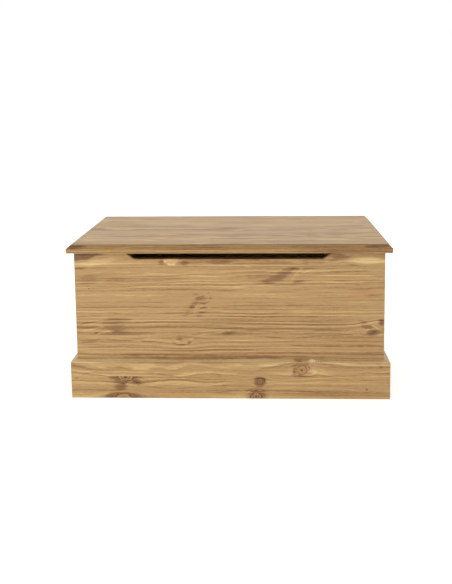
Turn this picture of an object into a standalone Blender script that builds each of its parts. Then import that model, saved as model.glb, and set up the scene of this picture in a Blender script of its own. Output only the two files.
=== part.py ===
"""Pine storage trunk: a panelled carcass on a mitred plinth, with a hinged lid on a slotted stay.

Metres, +Z up. X runs along the width and the front faces -Y. The origin is on the floor, under
the middle of the whole trunk with its hinge knuckles.
"""

import math

import bmesh
import bpy
from mathutils import Matrix, Vector

# Clearances
SEAT_GAP = 0.0003
RUNNING_GAP = 0.0003
LID_GAP = 0.0005
CUT_OVERRUN = 0.002

# Lid board
LID_WIDTH = 0.830
LID_DEPTH = 0.415
LID_THICKNESS = 0.0213
LID_OVERHANG = 0.016
LID_CHAMFER_RUN = 0.011
LID_CHAMFER_DROP = 0.0098
LID_OPEN_ANGLE = math.radians(95)

# Carcass boards
TRUNK_HEIGHT = 0.406
PANEL_THICKNESS = 0.016
BOARD_ARRIS = 0.0013
ARRIS_STEPS = 2

# Hand slot in the front panel's top edge
HAND_SLOT_WIDTH = 0.536
HAND_SLOT_DEPTH = 0.0178
HAND_SLOT_END_RUN = 0.024
HAND_SLOT_BOTTOM_RADIUS = 0.012
HAND_SLOT_TOP_RADIUS = 0.004
HAND_SLOT_ARC_STEPS = 5

# Plinth
PLINTH_HEIGHT = 0.102
PLINTH_THICKNESS = 0.014
PLINTH_CHAMFER_RUN = 0.012
PLINTH_CHAMFER_DROP = 0.005

# Corner posts inside the carcass
POST_SIZE = 0.028
POST_CHAMFER = 0.009
POST_TOP_DROP = 0.024

# Base board and what it lies on
BASE_UNDERSIDE = 0.045
BASE_THICKNESS = 0.009
BASE_PLAY = 0.0008
BASE_ARRIS = 0.0006
BATTEN_WIDTH = 0.022
BATTEN_HEIGHT = 0.024
CROSS_RAIL_WIDTH = 0.045

# Battens that keep the lid flat
LID_BATTEN_WIDTH = 0.042
LID_BATTEN_THICKNESS = 0.018
LID_BATTEN_INSET = 0.090
LID_BATTEN_END_GAP = 0.014
LID_BATTEN_CHAMFER_RUN = 0.014
LID_BATTEN_CHAMFER_DROP = 0.011
BATTEN_SCREW_COUNT = 3
BATTEN_SCREW_MARGIN = 0.045
BATTEN_SCREW_LENGTH = 0.030
BATTEN_SCREW_HEAD_RADIUS = 0.0040

# Butt hinges
HINGE_INSET = 0.135
HINGE_LENGTH = 0.065
KNUCKLE_COUNT = 5
KNUCKLE_RADIUS = 0.003
KNUCKLE_GAP = 0.0004
KNUCKLE_SIDES = 24
PIN_RADIUS = 0.0014
PIN_ARRIS = 0.0005
LEAF_THICKNESS = 0.0015
LEAF_REACH = 0.0165
HINGE_SCREW_COUNT = 3
HINGE_SCREW_MARGIN = 0.0105
HINGE_SCREW_LENGTH = 0.014
HINGE_SCREW_HEAD_RADIUS = 0.00265

# Screws of every size
SCREW_SHANK_RADIUS = 0.0015
SCREW_HEAD_DROP = 0.0002
SCREW_HEAD_RIM = 0.0003
SCREW_TIP_LENGTH = 0.0025
SCREW_SIDES = 12

# Slotted lid stay
STAY_PIVOT_ANGLE = math.radians(5)
STAY_STUD_ANGLE = math.radians(20)
STAY_FOOT_CLEARANCE = 0.050
STAY_SLOT_PLAY = 0.001
ARM_WIDTH = 0.015
ARM_THICKNESS = 0.002
ARM_ARC_STEPS = 12
STUD_FLANGE_RADIUS = 0.006
STUD_FLANGE_THICKNESS = 0.0045
STUD_NECK_RADIUS = 0.0026
STUD_SHANK_RADIUS = 0.0020
STUD_SHANK_LENGTH = 0.010
STUD_CAP_RADIUS = 0.0065
STUD_CAP_RIM = 0.0008
STUD_CAP_DOME = 0.0014
RIVET_RADIUS = 0.0025
RIVET_HEAD_RADIUS = 0.0046
RIVET_HEAD_RIM = 0.0004
RIVET_HEAD_DOME = 0.0012
DOME_STEPS = 4
TURNED_STEPS = 24
WELD_DISTANCE = 0.000001
ARRIS_ANGLE = math.radians(30)
FLAT_ANGLE = math.radians(1)

# Bracket that holds the stay under the lid
BRACKET_THICKNESS = 0.002
BRACKET_FLANGE_WIDTH = 0.017
BRACKET_FLANGE_LENGTH = 0.038
BRACKET_TONGUE_RADIUS = 0.0075
BRACKET_SCREW_MARGIN = 0.0065
BRACKET_SCREW_LENGTH = 0.012
BRACKET_SCREW_HEAD_RADIUS = 0.0034
BRACKET_SCREW_HEAD_RISE = 0.0014

# Colours, as base colour, roughness and metallic
PINE_LID = ((0.47, 0.33, 0.18), 0.42, 0.0)
PINE_CARCASS = ((0.49, 0.32, 0.15), 0.45, 0.0)
PINE_PLINTH = ((0.50, 0.33, 0.16), 0.45, 0.0)
PINE_INSIDE = ((0.60, 0.45, 0.27), 0.60, 0.0)
PLYWOOD = ((0.62, 0.49, 0.32), 0.65, 0.0)
BRASS = ((0.66, 0.50, 0.25), 0.32, 1.0)
ZINC_PLATE = ((0.62, 0.61, 0.58), 0.36, 1.0)

# Levels and faces that the pieces share
X_AXIS = Vector((1, 0, 0))
Y_AXIS = Vector((0, 1, 0))
Z_AXIS = Vector((0, 0, 1))

TRUNK_DEPTH = LID_DEPTH + SEAT_GAP + 2 * KNUCKLE_RADIUS
LID_FRONT = -TRUNK_DEPTH / 2
BACK_FACE = LID_FRONT + LID_DEPTH
LID_UNDERSIDE = TRUNK_HEIGHT - LID_THICKNESS
CARCASS_TOP = LID_UNDERSIDE - LID_GAP
HINGE_AXIS = Vector((0, BACK_FACE + SEAT_GAP + KNUCKLE_RADIUS, LID_UNDERSIDE - LID_GAP / 2))

BODY_HALF = LID_WIDTH / 2 - LID_OVERHANG
BODY_FRONT = LID_FRONT + LID_OVERHANG
INNER_HALF = BODY_HALF - PANEL_THICKNESS
INNER_FRONT = BODY_FRONT + PANEL_THICKNESS
INNER_BACK = BACK_FACE - PANEL_THICKNESS

PLINTH_INNER_HALF = BODY_HALF + SEAT_GAP
PLINTH_HALF = PLINTH_INNER_HALF + PLINTH_THICKNESS
PLINTH_INNER_FRONT = BODY_FRONT - SEAT_GAP
PLINTH_FRONT = PLINTH_INNER_FRONT - PLINTH_THICKNESS

POST_TOP = CARCASS_TOP - POST_TOP_DROP
BASE_TOP = BASE_UNDERSIDE + BASE_THICKNESS
HINGE_CENTRE = BODY_HALF - HINGE_INSET

# The pivot on the lid and the stud on the end panel are equally far from the hinge axis, so the
# arm always points at the stud while it turns half as far as the lid.
STAY_SWING = (LID_OPEN_ANGLE + STAY_STUD_ANGLE) / 2
STAY_LEAN = STAY_PIVOT_ANGLE + STAY_STUD_ANGLE / 2
STAY_END = STAY_SLOT_PLAY + ARM_WIDTH / 2
STAY_ROOM = HINGE_AXIS.z - BASE_TOP - STAY_FOOT_CLEARANCE - STAY_END * math.cos(STAY_LEAN)
STAY_RADIUS = STAY_ROOM / (
    math.sin(STAY_PIVOT_ANGLE) + 2 * math.sin(STAY_SWING) * math.cos(STAY_LEAN)
)
STAY_REACH_CLOSED = 2 * STAY_RADIUS * math.sin(STAY_STUD_ANGLE / 2)
STAY_REACH_OPEN = 2 * STAY_RADIUS * math.sin(STAY_SWING)

ARM_OUTER_X = INNER_HALF - SEAT_GAP - STUD_FLANGE_THICKNESS - RUNNING_GAP
ARM_INNER_X = ARM_OUTER_X - ARM_THICKNESS
TONGUE_OUTER_X = ARM_INNER_X - RUNNING_GAP
TONGUE_INNER_X = TONGUE_OUTER_X - BRACKET_THICKNESS

# A drawing in X and Y, stood up to face the front, or turned to be seen from the end
FACING_FRONT = Matrix.Rotation(math.pi / 2, 3, "X")
SEEN_FROM_END = Matrix.Rotation(math.pi / 2, 3, "Z") @ Matrix.Rotation(math.pi / 2, 3, "X")
ALONG_X = Matrix.Rotation(math.pi / 2, 3, "Y")
POINTING_UP = Matrix.Rotation(math.pi, 3, "X")
POINTING_DOWN = Matrix.Identity(3)


def clear_scene():
    for obj in list(bpy.data.objects):
        bpy.data.objects.remove(obj)


def new_collection(name):
    collection = bpy.data.collections.new(name)
    bpy.context.scene.collection.children.link(collection)
    return collection


def new_material(name, finish):
    colour, roughness, metallic = finish
    material = bpy.data.materials.new(name)
    material.use_nodes = True
    shader = material.node_tree.nodes["Principled BSDF"]
    shader.inputs["Base Color"].default_value = (*colour, 1.0)
    shader.inputs["Roughness"].default_value = roughness
    shader.inputs["Metallic"].default_value = metallic
    material.diffuse_color = (*colour, 1.0)
    return material


def new_joint(name, place, parent=None):
    """An empty that stands on a joint's axis."""
    joint = bpy.data.objects.new(name, None)
    trunk.objects.link(joint)
    joint.parent = parent
    joint.location = place - world_place(parent)
    return joint


def world_place(joint):
    """Where an empty stands. The empties are never turned."""
    place = Vector((0, 0, 0))
    while joint is not None:
        place = place + joint.location
        joint = joint.parent
    return place


def add_piece(name, mesh, place, finish, joint, turn=None):
    """Links a mesh as a named piece of the trunk, with its own material."""
    obj = bpy.data.objects.new(name, mesh)
    trunk.objects.link(obj)
    obj.parent = joint
    obj.location = place - world_place(joint)
    if turn is not None:
        obj.rotation_euler = turn.to_euler()
    mesh.materials.clear()
    mesh.materials.append(new_material(name + "_finish", finish))
    return obj


def mesh_from(name, shape):
    mesh = bpy.data.meshes.new(name)
    bmesh.ops.recalc_face_normals(shape, faces=shape.faces)
    shape.to_mesh(mesh)
    shape.free()
    return mesh


def chamfer(edge_point, out, up, run, drop):
    """The plane that takes run off the upper face and drop off the outer face, beside an edge."""
    return edge_point - up * drop, out * drop + up * run


def box_shape(low, high):
    """A box between two corners."""
    shape = bmesh.new()
    stretch = Matrix.Diagonal((*(high - low), 1.0))
    bmesh.ops.create_cube(shape, size=1.0, matrix=Matrix.Translation((low + high) / 2) @ stretch)
    return shape


def lies_on(edge, line):
    """Whether an edge lies on a line or plane, given as coordinates with None where it is free."""
    for vert in edge.verts:
        for value, wanted in zip(vert.co, line):
            if wanted is not None and abs(value - wanted) > WELD_DISTANCE:
                return False
    return True


def round_arrises(shape, radius, glued=()):
    """Rounds the sharp edges, but not those that are glued flush to another board."""
    edges = []
    for edge in shape.edges:
        is_sharp = edge.calc_face_angle() > ARRIS_ANGLE
        if is_sharp and not any(lies_on(edge, line) for line in glued):
            edges.append(edge)
    bmesh.ops.bevel(
        shape, geom=edges, offset=radius, segments=ARRIS_STEPS, profile=0.5, affect="EDGES"
    )


def saw(shape, planes):
    """Cuts away what lies past each plane, given as a point and a normal, and closes the cut."""
    for point, normal in planes:
        everything = shape.verts[:] + shape.edges[:] + shape.faces[:]
        bmesh.ops.bisect_plane(
            shape, geom=everything, plane_co=point, plane_no=normal, clear_outer=True
        )
        rim = [edge for edge in shape.edges if edge.is_boundary]
        bmesh.ops.holes_fill(shape, edges=rim)


def board(name, low, high, finish, joint, planes=(), glued=(), last_cuts=()):
    """A board with its own origin at its middle. The last cuts follow the rounding."""
    shape = box_shape(low, high)
    saw(shape, planes)
    round_arrises(shape, BOARD_ARRIS, glued)
    saw(shape, last_cuts)
    middle = (low + high) / 2
    bmesh.ops.translate(shape, verts=shape.verts, vec=-middle)
    return add_piece(name, mesh_from(name, shape), middle, finish, joint)


def circle(centre, radius, steps):
    turns = (2 * math.pi * step / steps for step in range(steps))
    return [(centre[0] + radius * math.cos(a), centre[1] + radius * math.sin(a)) for a in turns]


def arc(centre, radius, start, end, steps):
    turns = (start + (end - start) * step / steps for step in range(steps + 1))
    return [(centre[0] + radius * math.cos(a), centre[1] + radius * math.sin(a)) for a in turns]


def stadium(start, end, radius, steps):
    """An outline round two centres on the drawing's X axis."""
    quarter = math.pi / 2
    return arc((end, 0), radius, -quarter, quarter, steps) + arc(
        (start, 0), radius, quarter, 3 * quarter, steps
    )


def fillet(before, corner, after, radius, steps):
    """The points that round off a corner of an outline."""
    corner = Vector(corner)
    into = (Vector(before) - corner).normalized()
    out = (Vector(after) - corner).normalized()
    half_angle = into.angle(out) / 2
    reach = radius / math.tan(half_angle)
    centre = corner + (into + out).normalized() * (radius / math.sin(half_angle))
    first = corner + into * reach - centre
    last = corner + out * reach - centre
    sweep = first.angle_signed(last)
    points = []
    for step in range(steps + 1):
        points.append(tuple(centre + Matrix.Rotation(-sweep * step / steps, 2) @ first))
    return points


def plate_mesh(name, outlines, thickness, arris=0, glued=()):
    """A flat outline with its holes, drawn as a 2D curve, as a closed mesh about its mid plane."""
    curve = bpy.data.curves.new(name, "CURVE")
    curve.dimensions = "2D"
    curve.fill_mode = "BOTH"
    curve.extrude = thickness / 2
    for outline in outlines:
        spline = curve.splines.new("POLY")
        spline.points.add(len(outline) - 1)
        spline.use_cyclic_u = True
        for point, (x, y) in zip(spline.points, outline):
            point.co = (x, y, 0, 1)
    drawn = bpy.data.objects.new(name, curve)
    bpy.context.scene.collection.objects.link(drawn)
    graph = bpy.context.evaluated_depsgraph_get()
    mesh = bpy.data.meshes.new_from_object(drawn.evaluated_get(graph))
    bpy.data.objects.remove(drawn)
    bpy.data.curves.remove(curve)
    shape = bmesh.new()
    shape.from_mesh(mesh)
    bmesh.ops.remove_doubles(shape, verts=shape.verts, dist=WELD_DISTANCE)
    bmesh.ops.dissolve_limit(shape, angle_limit=FLAT_ANGLE, verts=shape.verts, edges=shape.edges)
    bmesh.ops.recalc_face_normals(shape, faces=shape.faces)
    if arris > 0:
        round_arrises(shape, arris, glued)
    shape.to_mesh(mesh)
    shape.free()
    mesh.name = name
    return mesh


def turned_mesh(name, profile):
    """Half a section, as radius and height from the top down, for the Screw modifier."""
    mesh = bpy.data.meshes.new(name)
    points = [(radius, 0, height) for radius, height in profile]
    edges = [(i, i + 1) for i in range(len(points) - 1)]
    mesh.from_pydata(points, edges, [])
    return mesh


def turn_round(obj, steps=TURNED_STEPS):
    screw = obj.modifiers.new("turned", "SCREW")
    screw.steps = steps
    screw.render_steps = steps
    screw.use_merge_vertices = True
    screw.merge_threshold = WELD_DISTANCE
    screw.use_smooth_shade = True


def dome(rim_radius, rim_height, rise, steps=DOME_STEPS):
    """Profile points from a rim to a low crown on the axis. A negative rise hangs down."""
    points = []
    for step in range(steps + 1):
        turn = math.pi / 2 * step / steps
        points.append((rim_radius * math.cos(turn), rim_height + rise * math.sin(turn)))
    points[-1] = (0, rim_height + rise)
    return points


def as_cutter(name, mesh, place, turn=None):
    cutter = bpy.data.objects.new(name, mesh)
    cutters.objects.link(cutter)
    cutter.location = place
    if turn is not None:
        cutter.rotation_euler = turn.to_euler()
    cutter.hide_render = True
    cutter.display_type = "WIRE"
    return cutter


def box_cutter(name, low, high):
    return as_cutter(name, mesh_from(name, box_shape(low, high)), Vector((0, 0, 0)))


def round_cutter(name, place, radius, length, turn=None):
    """A cylinder, centred on its place."""
    shape = bmesh.new()
    bmesh.ops.create_cone(
        shape,
        cap_ends=True,
        segments=TURNED_STEPS,
        radius1=radius,
        radius2=radius,
        depth=length,
    )
    return as_cutter(name, mesh_from(name, shape), place, turn)


def shape_with(obj, cutter, operation="DIFFERENCE"):
    boolean = obj.modifiers.new(cutter.name, "BOOLEAN")
    boolean.operation = operation
    boolean.object = cutter


def sunk_head(radius):
    """The top of a countersunk screw: a flat face just below the surface, a rim and a cone."""
    rim = -SCREW_HEAD_DROP - SCREW_HEAD_RIM
    cone_foot = rim - (radius - SCREW_SHANK_RADIUS)
    return [
        (0, -SCREW_HEAD_DROP),
        (radius, -SCREW_HEAD_DROP),
        (radius, rim),
        (SCREW_SHANK_RADIUS, cone_foot),
    ]


def round_head(radius, rise):
    """The top of a round-headed screw, which stands on the surface."""
    crown = dome(radius, SEAT_GAP, rise)
    return list(reversed(crown)) + [(SCREW_SHANK_RADIUS, SEAT_GAP)]


def drive_screw(name, place, turn, head, length, sink_radius, joint, drilled):
    """A screw whose head is at its place, and its hole in each piece that it passes through."""
    shank = [(SCREW_SHANK_RADIUS, SCREW_TIP_LENGTH - length), (0, -length)]
    mesh = turned_mesh(name, head + shank)
    turn_round(add_piece(name, mesh, place, ZINC_PLATE, joint, turn), SCREW_SIDES)

    hole_radius = SCREW_SHANK_RADIUS + SEAT_GAP
    mouth = [(0, CUT_OVERRUN), (sink_radius + CUT_OVERRUN, CUT_OVERRUN)]
    neck = [(hole_radius, hole_radius - sink_radius), (hole_radius, -length - SEAT_GAP)]
    if sink_radius == 0:
        mouth = [(0, CUT_OVERRUN), (hole_radius, CUT_OVERRUN)]
        neck = [(hole_radius, -length - SEAT_GAP)]
    profile = mouth + neck + [(0, -length - SEAT_GAP)]
    hole = as_cutter(name + "_hole", turned_mesh(name + "_hole", profile), place, turn)
    turn_round(hole, SCREW_SIDES)
    for obj in drilled:
        shape_with(obj, hole)


def drive_sunk_screw(name, place, turn, head_radius, length, joint, drilled):
    head = sunk_head(head_radius)
    clear = math.sqrt(2) * SEAT_GAP
    sink_radius = head_radius + SCREW_HEAD_DROP + SCREW_HEAD_RIM + clear
    drive_screw(name, place, turn, head, length, sink_radius, joint, drilled)


def hand_slot_outline():
    """The front panel seen from the front, with the hand slot let into its top edge."""
    slot_top = HAND_SLOT_WIDTH / 2
    slot_bottom = slot_top - HAND_SLOT_END_RUN
    floor = CARCASS_TOP - HAND_SLOT_DEPTH
    corner = (BODY_HALF, CARCASS_TOP)
    lip, foot = (slot_top, CARCASS_TOP), (slot_bottom, floor)
    steps = HAND_SLOT_ARC_STEPS
    right = [(BODY_HALF, 0), corner]
    right += fillet(corner, lip, foot, HAND_SLOT_TOP_RADIUS, steps)
    right += fillet(lip, foot, (0, floor), HAND_SLOT_BOTTOM_RADIUS, steps)
    left = [(-x, z) for x, z in reversed(right)]
    return right + left


def build_panels(carcass):
    inner_corners = [(side * BODY_HALF, None, -PANEL_THICKNESS / 2) for side in (-1, 1)]
    outline = hand_slot_outline()
    mesh = plate_mesh("front_panel", [outline], PANEL_THICKNESS, BOARD_ARRIS, inner_corners)
    place = Vector((0, BODY_FRONT + PANEL_THICKNESS / 2, 0))
    add_piece("front_panel", mesh, place, PINE_CARCASS, carcass, FACING_FRONT)

    low = Vector((-BODY_HALF, INNER_BACK, 0))
    high = Vector((BODY_HALF, BACK_FACE, CARCASS_TOP))
    inner_corners = [(side * BODY_HALF, INNER_BACK, None) for side in (-1, 1)]
    back = board("back_panel", low, high, PINE_CARCASS, carcass, glued=inner_corners)

    ends = {}
    for side, name in ((-1, "left"), (1, "right")):
        faces = sorted((side * BODY_HALF, side * INNER_HALF))
        low = Vector((faces[0], INNER_FRONT + SEAT_GAP, 0))
        high = Vector((faces[1], INNER_BACK - SEAT_GAP, CARCASS_TOP))
        butts = [(None, low.y, None), (None, high.y, None)]
        ends[name] = board("end_panel_" + name, low, high, PINE_CARCASS, carcass, glued=butts)
    return back, ends


def build_plinth(carcass):
    """Three chamfered rails, mitred at the front corners and planted on the panels."""
    edge = Vector((0, PLINTH_FRONT, PLINTH_HEIGHT))
    planes = [chamfer(edge, -Y_AXIS, Z_AXIS, PLINTH_CHAMFER_RUN, PLINTH_CHAMFER_DROP)]
    low = Vector((-PLINTH_HALF, PLINTH_FRONT, 0))
    high = Vector((PLINTH_HALF, PLINTH_INNER_FRONT, PLINTH_HEIGHT))
    corners = [(low.x, low.y, None), (high.x, low.y, None)]
    cuts = plinth_corner_cuts(-1, 1) + plinth_corner_cuts(1, 1)
    board("plinth_front", low, high, PINE_PLINTH, carcass, planes, corners, cuts)

    for side, name in ((-1, "left"), (1, "right")):
        edge = Vector((side * PLINTH_HALF, 0, PLINTH_HEIGHT))
        planes = [chamfer(edge, side * X_AXIS, Z_AXIS, PLINTH_CHAMFER_RUN, PLINTH_CHAMFER_DROP)]
        faces = sorted((side * PLINTH_HALF, side * PLINTH_INNER_HALF))
        low = Vector((faces[0], PLINTH_FRONT, 0))
        high = Vector((faces[1], BACK_FACE, PLINTH_HEIGHT))
        corners = [(side * PLINTH_HALF, low.y, None)]
        cuts = plinth_corner_cuts(side, -1)
        board("plinth_" + name, low, high, PINE_PLINTH, carcass, planes, corners, cuts)


def plinth_corner_cuts(side, keep):
    """The mitre at a front corner and the corner's eased edge. keep is 1 for the front rail."""
    corner = Vector((side * PLINTH_HALF, PLINTH_FRONT, 0))
    mitre = Vector((side, 1, 0)).normalized()
    outward = Vector((side, -1, 0)).normalized()
    return [
        (corner - mitre * keep * SEAT_GAP / 2, mitre * keep),
        (corner - outward * BOARD_ARRIS / 2, outward),
    ]


def build_posts(carcass):
    """Square posts that tie the panels together, chamfered towards the middle of the trunk."""
    outer_x = INNER_HALF - SEAT_GAP
    for side, side_name in ((-1, "left"), (1, "right")):
        for end, end_name in ((-1, "front"), (1, "back")):
            face_y = INNER_FRONT + SEAT_GAP if end < 0 else INNER_BACK - SEAT_GAP
            spans_x = sorted((side * outer_x, side * (outer_x - POST_SIZE)))
            spans_y = sorted((face_y, face_y - end * POST_SIZE))
            inner = Vector((side * (outer_x - POST_SIZE), face_y - end * POST_SIZE, 0))
            plane = chamfer(inner, -side * X_AXIS, -end * Y_AXIS, POST_CHAMFER, POST_CHAMFER)
            low = Vector((spans_x[0], spans_y[0], 0))
            high = Vector((spans_x[1], spans_y[1], POST_TOP))
            name = f"corner_post_{end_name}_{side_name}"
            board(name, low, high, PINE_INSIDE, carcass, [plane])


def build_base(carcass):
    """The base board, notched round the posts, on four battens and a cross rail."""
    half_x = INNER_HALF - BASE_PLAY
    half_y = (INNER_BACK - INNER_FRONT) / 2 - BASE_PLAY
    notch = POST_SIZE + 2 * SEAT_GAP
    notch_x, notch_y = half_x + BASE_PLAY - notch, half_y + BASE_PLAY - notch
    corner = [(half_x, notch_y), (notch_x, notch_y), (notch_x, half_y)]
    opposite = [(-x, y) for x, y in reversed(corner)]
    outline = corner + opposite + [(-x, -y) for x, y in corner + opposite]
    middle = Vector((0, (INNER_FRONT + INNER_BACK) / 2, BASE_UNDERSIDE + BASE_THICKNESS / 2))
    mesh = plate_mesh("base_panel", [outline], BASE_THICKNESS, BASE_ARRIS)
    add_piece("base_panel", mesh, middle, PLYWOOD, carcass)

    top = BASE_UNDERSIDE - SEAT_GAP
    bottom = top - BATTEN_HEIGHT
    post_x = INNER_HALF - 2 * SEAT_GAP - POST_SIZE
    front_y, back_y = INNER_FRONT + SEAT_GAP, INNER_BACK - SEAT_GAP
    low = Vector((-post_x, front_y, bottom))
    high = Vector((post_x, front_y + BATTEN_WIDTH, top))
    board("base_batten_front", low, high, PINE_INSIDE, carcass)
    low = Vector((-post_x, back_y - BATTEN_WIDTH, bottom))
    high = Vector((post_x, back_y, top))
    board("base_batten_back", low, high, PINE_INSIDE, carcass)

    post_reach = SEAT_GAP + POST_SIZE
    for side, name in ((-1, "left"), (1, "right")):
        outer = INNER_HALF - SEAT_GAP
        faces = sorted((side * outer, side * (outer - BATTEN_WIDTH)))
        low = Vector((faces[0], front_y + post_reach, bottom))
        high = Vector((faces[1], back_y - post_reach, top))
        board("base_batten_" + name, low, high, PINE_INSIDE, carcass)

    batten_reach = BATTEN_WIDTH + SEAT_GAP
    low = Vector((-CROSS_RAIL_WIDTH / 2, front_y + batten_reach, bottom))
    high = Vector((CROSS_RAIL_WIDTH / 2, back_y - batten_reach, top))
    board("base_cross_rail", low, high, PINE_INSIDE, carcass)


def build_lid(lid_hinge):
    """The lid board, chamfered on its front and ends, with two battens under it."""
    front_edge = Vector((0, LID_FRONT, TRUNK_HEIGHT))
    planes = [chamfer(front_edge, -Y_AXIS, Z_AXIS, LID_CHAMFER_RUN, LID_CHAMFER_DROP)]
    for side in (-1, 1):
        end_edge = Vector((side * LID_WIDTH / 2, 0, TRUNK_HEIGHT))
        planes.append(chamfer(end_edge, side * X_AXIS, Z_AXIS, LID_CHAMFER_RUN, LID_CHAMFER_DROP))
    low = Vector((-LID_WIDTH / 2, LID_FRONT, LID_UNDERSIDE))
    high = Vector((LID_WIDTH / 2, BACK_FACE, TRUNK_HEIGHT))
    lid = board("lid_panel", low, high, PINE_LID, lid_hinge, planes)

    top = LID_UNDERSIDE - SEAT_GAP
    bottom = top - LID_BATTEN_THICKNESS
    outer = INNER_HALF - LID_BATTEN_INSET
    front_y, back_y = INNER_FRONT + LID_BATTEN_END_GAP, INNER_BACK - LID_BATTEN_END_GAP
    planes = [
        chamfer(
            Vector((0, y, bottom)), out, -Z_AXIS, LID_BATTEN_CHAMFER_RUN, LID_BATTEN_CHAMFER_DROP
        )
        for y, out in ((front_y, -Y_AXIS), (back_y, Y_AXIS))
    ]
    for side, name in ((-1, "left"), (1, "right")):
        faces = sorted((side * outer, side * (outer - LID_BATTEN_WIDTH)))
        low = Vector((faces[0], front_y, bottom))
        high = Vector((faces[1], back_y, top))
        batten = board("lid_batten_" + name, low, high, PINE_INSIDE, lid_hinge, planes)
        spacing = (back_y - front_y - 2 * BATTEN_SCREW_MARGIN) / (BATTEN_SCREW_COUNT - 1)
        for count in range(BATTEN_SCREW_COUNT):
            y = front_y + BATTEN_SCREW_MARGIN + count * spacing
            drive_sunk_screw(
                f"lid_batten_{name}_screw_{count + 1}",
                Vector((sum(faces) / 2, y, bottom)),
                POINTING_UP,
                BATTEN_SCREW_HEAD_RADIUS,
                BATTEN_SCREW_LENGTH,
                lid_hinge,
                (batten, lid),
            )
    return lid


def leaf_outlines(side):
    """A leaf and its rolled knuckle seen from the end. side is -1 for the lower leaf."""
    near, far = LID_GAP / 2, LID_GAP / 2 + LEAF_THICKNESS
    start = math.pi - math.asin(near / KNUCKLE_RADIUS)
    finish = 3 * math.pi - math.asin(far / KNUCKLE_RADIUS)
    outline = [(-LEAF_REACH, near)]
    outline += arc((0, 0), KNUCKLE_RADIUS, start, finish, KNUCKLE_SIDES)
    outline += [(-LEAF_REACH, far)]
    bore = circle((0, 0), PIN_RADIUS + RUNNING_GAP, KNUCKLE_SIDES)
    return [[(y, side * z) for y, z in outline], bore]


def build_hinge(name, centre_x, carcass, lid_hinge, back_panel, lid_panel):
    """One butt hinge: two leaves with interleaved knuckles, let into the wood, and a pin."""
    pitch = HINGE_LENGTH / KNUCKLE_COUNT
    middle = HINGE_AXIS + centre_x * X_AXIS
    start_x = centre_x - HINGE_LENGTH / 2
    clear = KNUCKLE_RADIUS + RUNNING_GAP
    leaves = (
        (-1, "body", carcass, 0, back_panel, POINTING_DOWN),
        (1, "lid", lid_hinge, 1, lid_panel, POINTING_UP),
    )
    for side, part, joint, parity, panel, turn in leaves:
        leaf_name = f"hinge_{name}_{part}_leaf"
        mesh = plate_mesh(leaf_name, leaf_outlines(side), HINGE_LENGTH)
        leaf = add_piece(leaf_name, mesh, middle, BRASS, joint, SEEN_FROM_END)
        for knuckle in range(KNUCKLE_COUNT):
            if knuckle % 2 == parity:
                continue
            low_x = start_x + knuckle * pitch - KNUCKLE_GAP / 2
            high_x = low_x + pitch + KNUCKLE_GAP
            low_x -= CUT_OVERRUN if knuckle == 0 else 0
            high_x += CUT_OVERRUN if knuckle == KNUCKLE_COUNT - 1 else 0
            low = Vector((low_x, HINGE_AXIS.y - clear, HINGE_AXIS.z - clear))
            high = Vector((high_x, HINGE_AXIS.y + clear, HINGE_AXIS.z + clear))
            shape_with(leaf, box_cutter(f"{leaf_name}_gap_{knuckle}", low, high))
        spacing = (HINGE_LENGTH - 2 * HINGE_SCREW_MARGIN) / (HINGE_SCREW_COUNT - 1)
        for count in range(HINGE_SCREW_COUNT):
            x = start_x + HINGE_SCREW_MARGIN + count * spacing
            y = HINGE_AXIS.y - (LEAF_REACH + KNUCKLE_RADIUS) / 2
            drive_sunk_screw(
                f"hinge_{name}_{part}_screw_{count + 1}",
                Vector((x, y, HINGE_AXIS.z + side * LID_GAP / 2)),
                turn,
                HINGE_SCREW_HEAD_RADIUS,
                HINGE_SCREW_LENGTH,
                joint,
                (leaf, panel),
            )

    shape = bmesh.new()
    bmesh.ops.create_cone(
        shape,
        cap_ends=True,
        segments=KNUCKLE_SIDES,
        radius1=PIN_RADIUS,
        radius2=PIN_RADIUS,
        depth=HINGE_LENGTH,
    )
    round_arrises(shape, PIN_ARRIS)
    pin_name = f"hinge_{name}_pin"
    mesh = mesh_from(pin_name, shape)
    add_piece(pin_name, mesh, middle, BRASS, carcass, ALONG_X)

    low_x, high_x = start_x - SEAT_GAP, start_x + HINGE_LENGTH + SEAT_GAP
    depth = LEAF_THICKNESS + SEAT_GAP
    low_y, high_y = HINGE_AXIS.y - LEAF_REACH - SEAT_GAP, BACK_FACE + CUT_OVERRUN
    low = Vector((low_x, low_y, CARCASS_TOP - depth))
    high = Vector((high_x, high_y, CARCASS_TOP + CUT_OVERRUN))
    shape_with(back_panel, box_cutter(f"hinge_{name}_body_mortise", low, high))
    low = Vector((low_x, low_y, LID_UNDERSIDE - CUT_OVERRUN))
    high = Vector((high_x, high_y, LID_UNDERSIDE + depth))
    shape_with(lid_panel, box_cutter(f"hinge_{name}_lid_mortise", low, high))


def from_hinge(angle_below):
    """A point at the stay's radius from the hinge axis, in front of it and below it."""
    forward, down = math.cos(angle_below), math.sin(angle_below)
    return HINGE_AXIS + STAY_RADIUS * Vector((0, -forward, -down))


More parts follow.
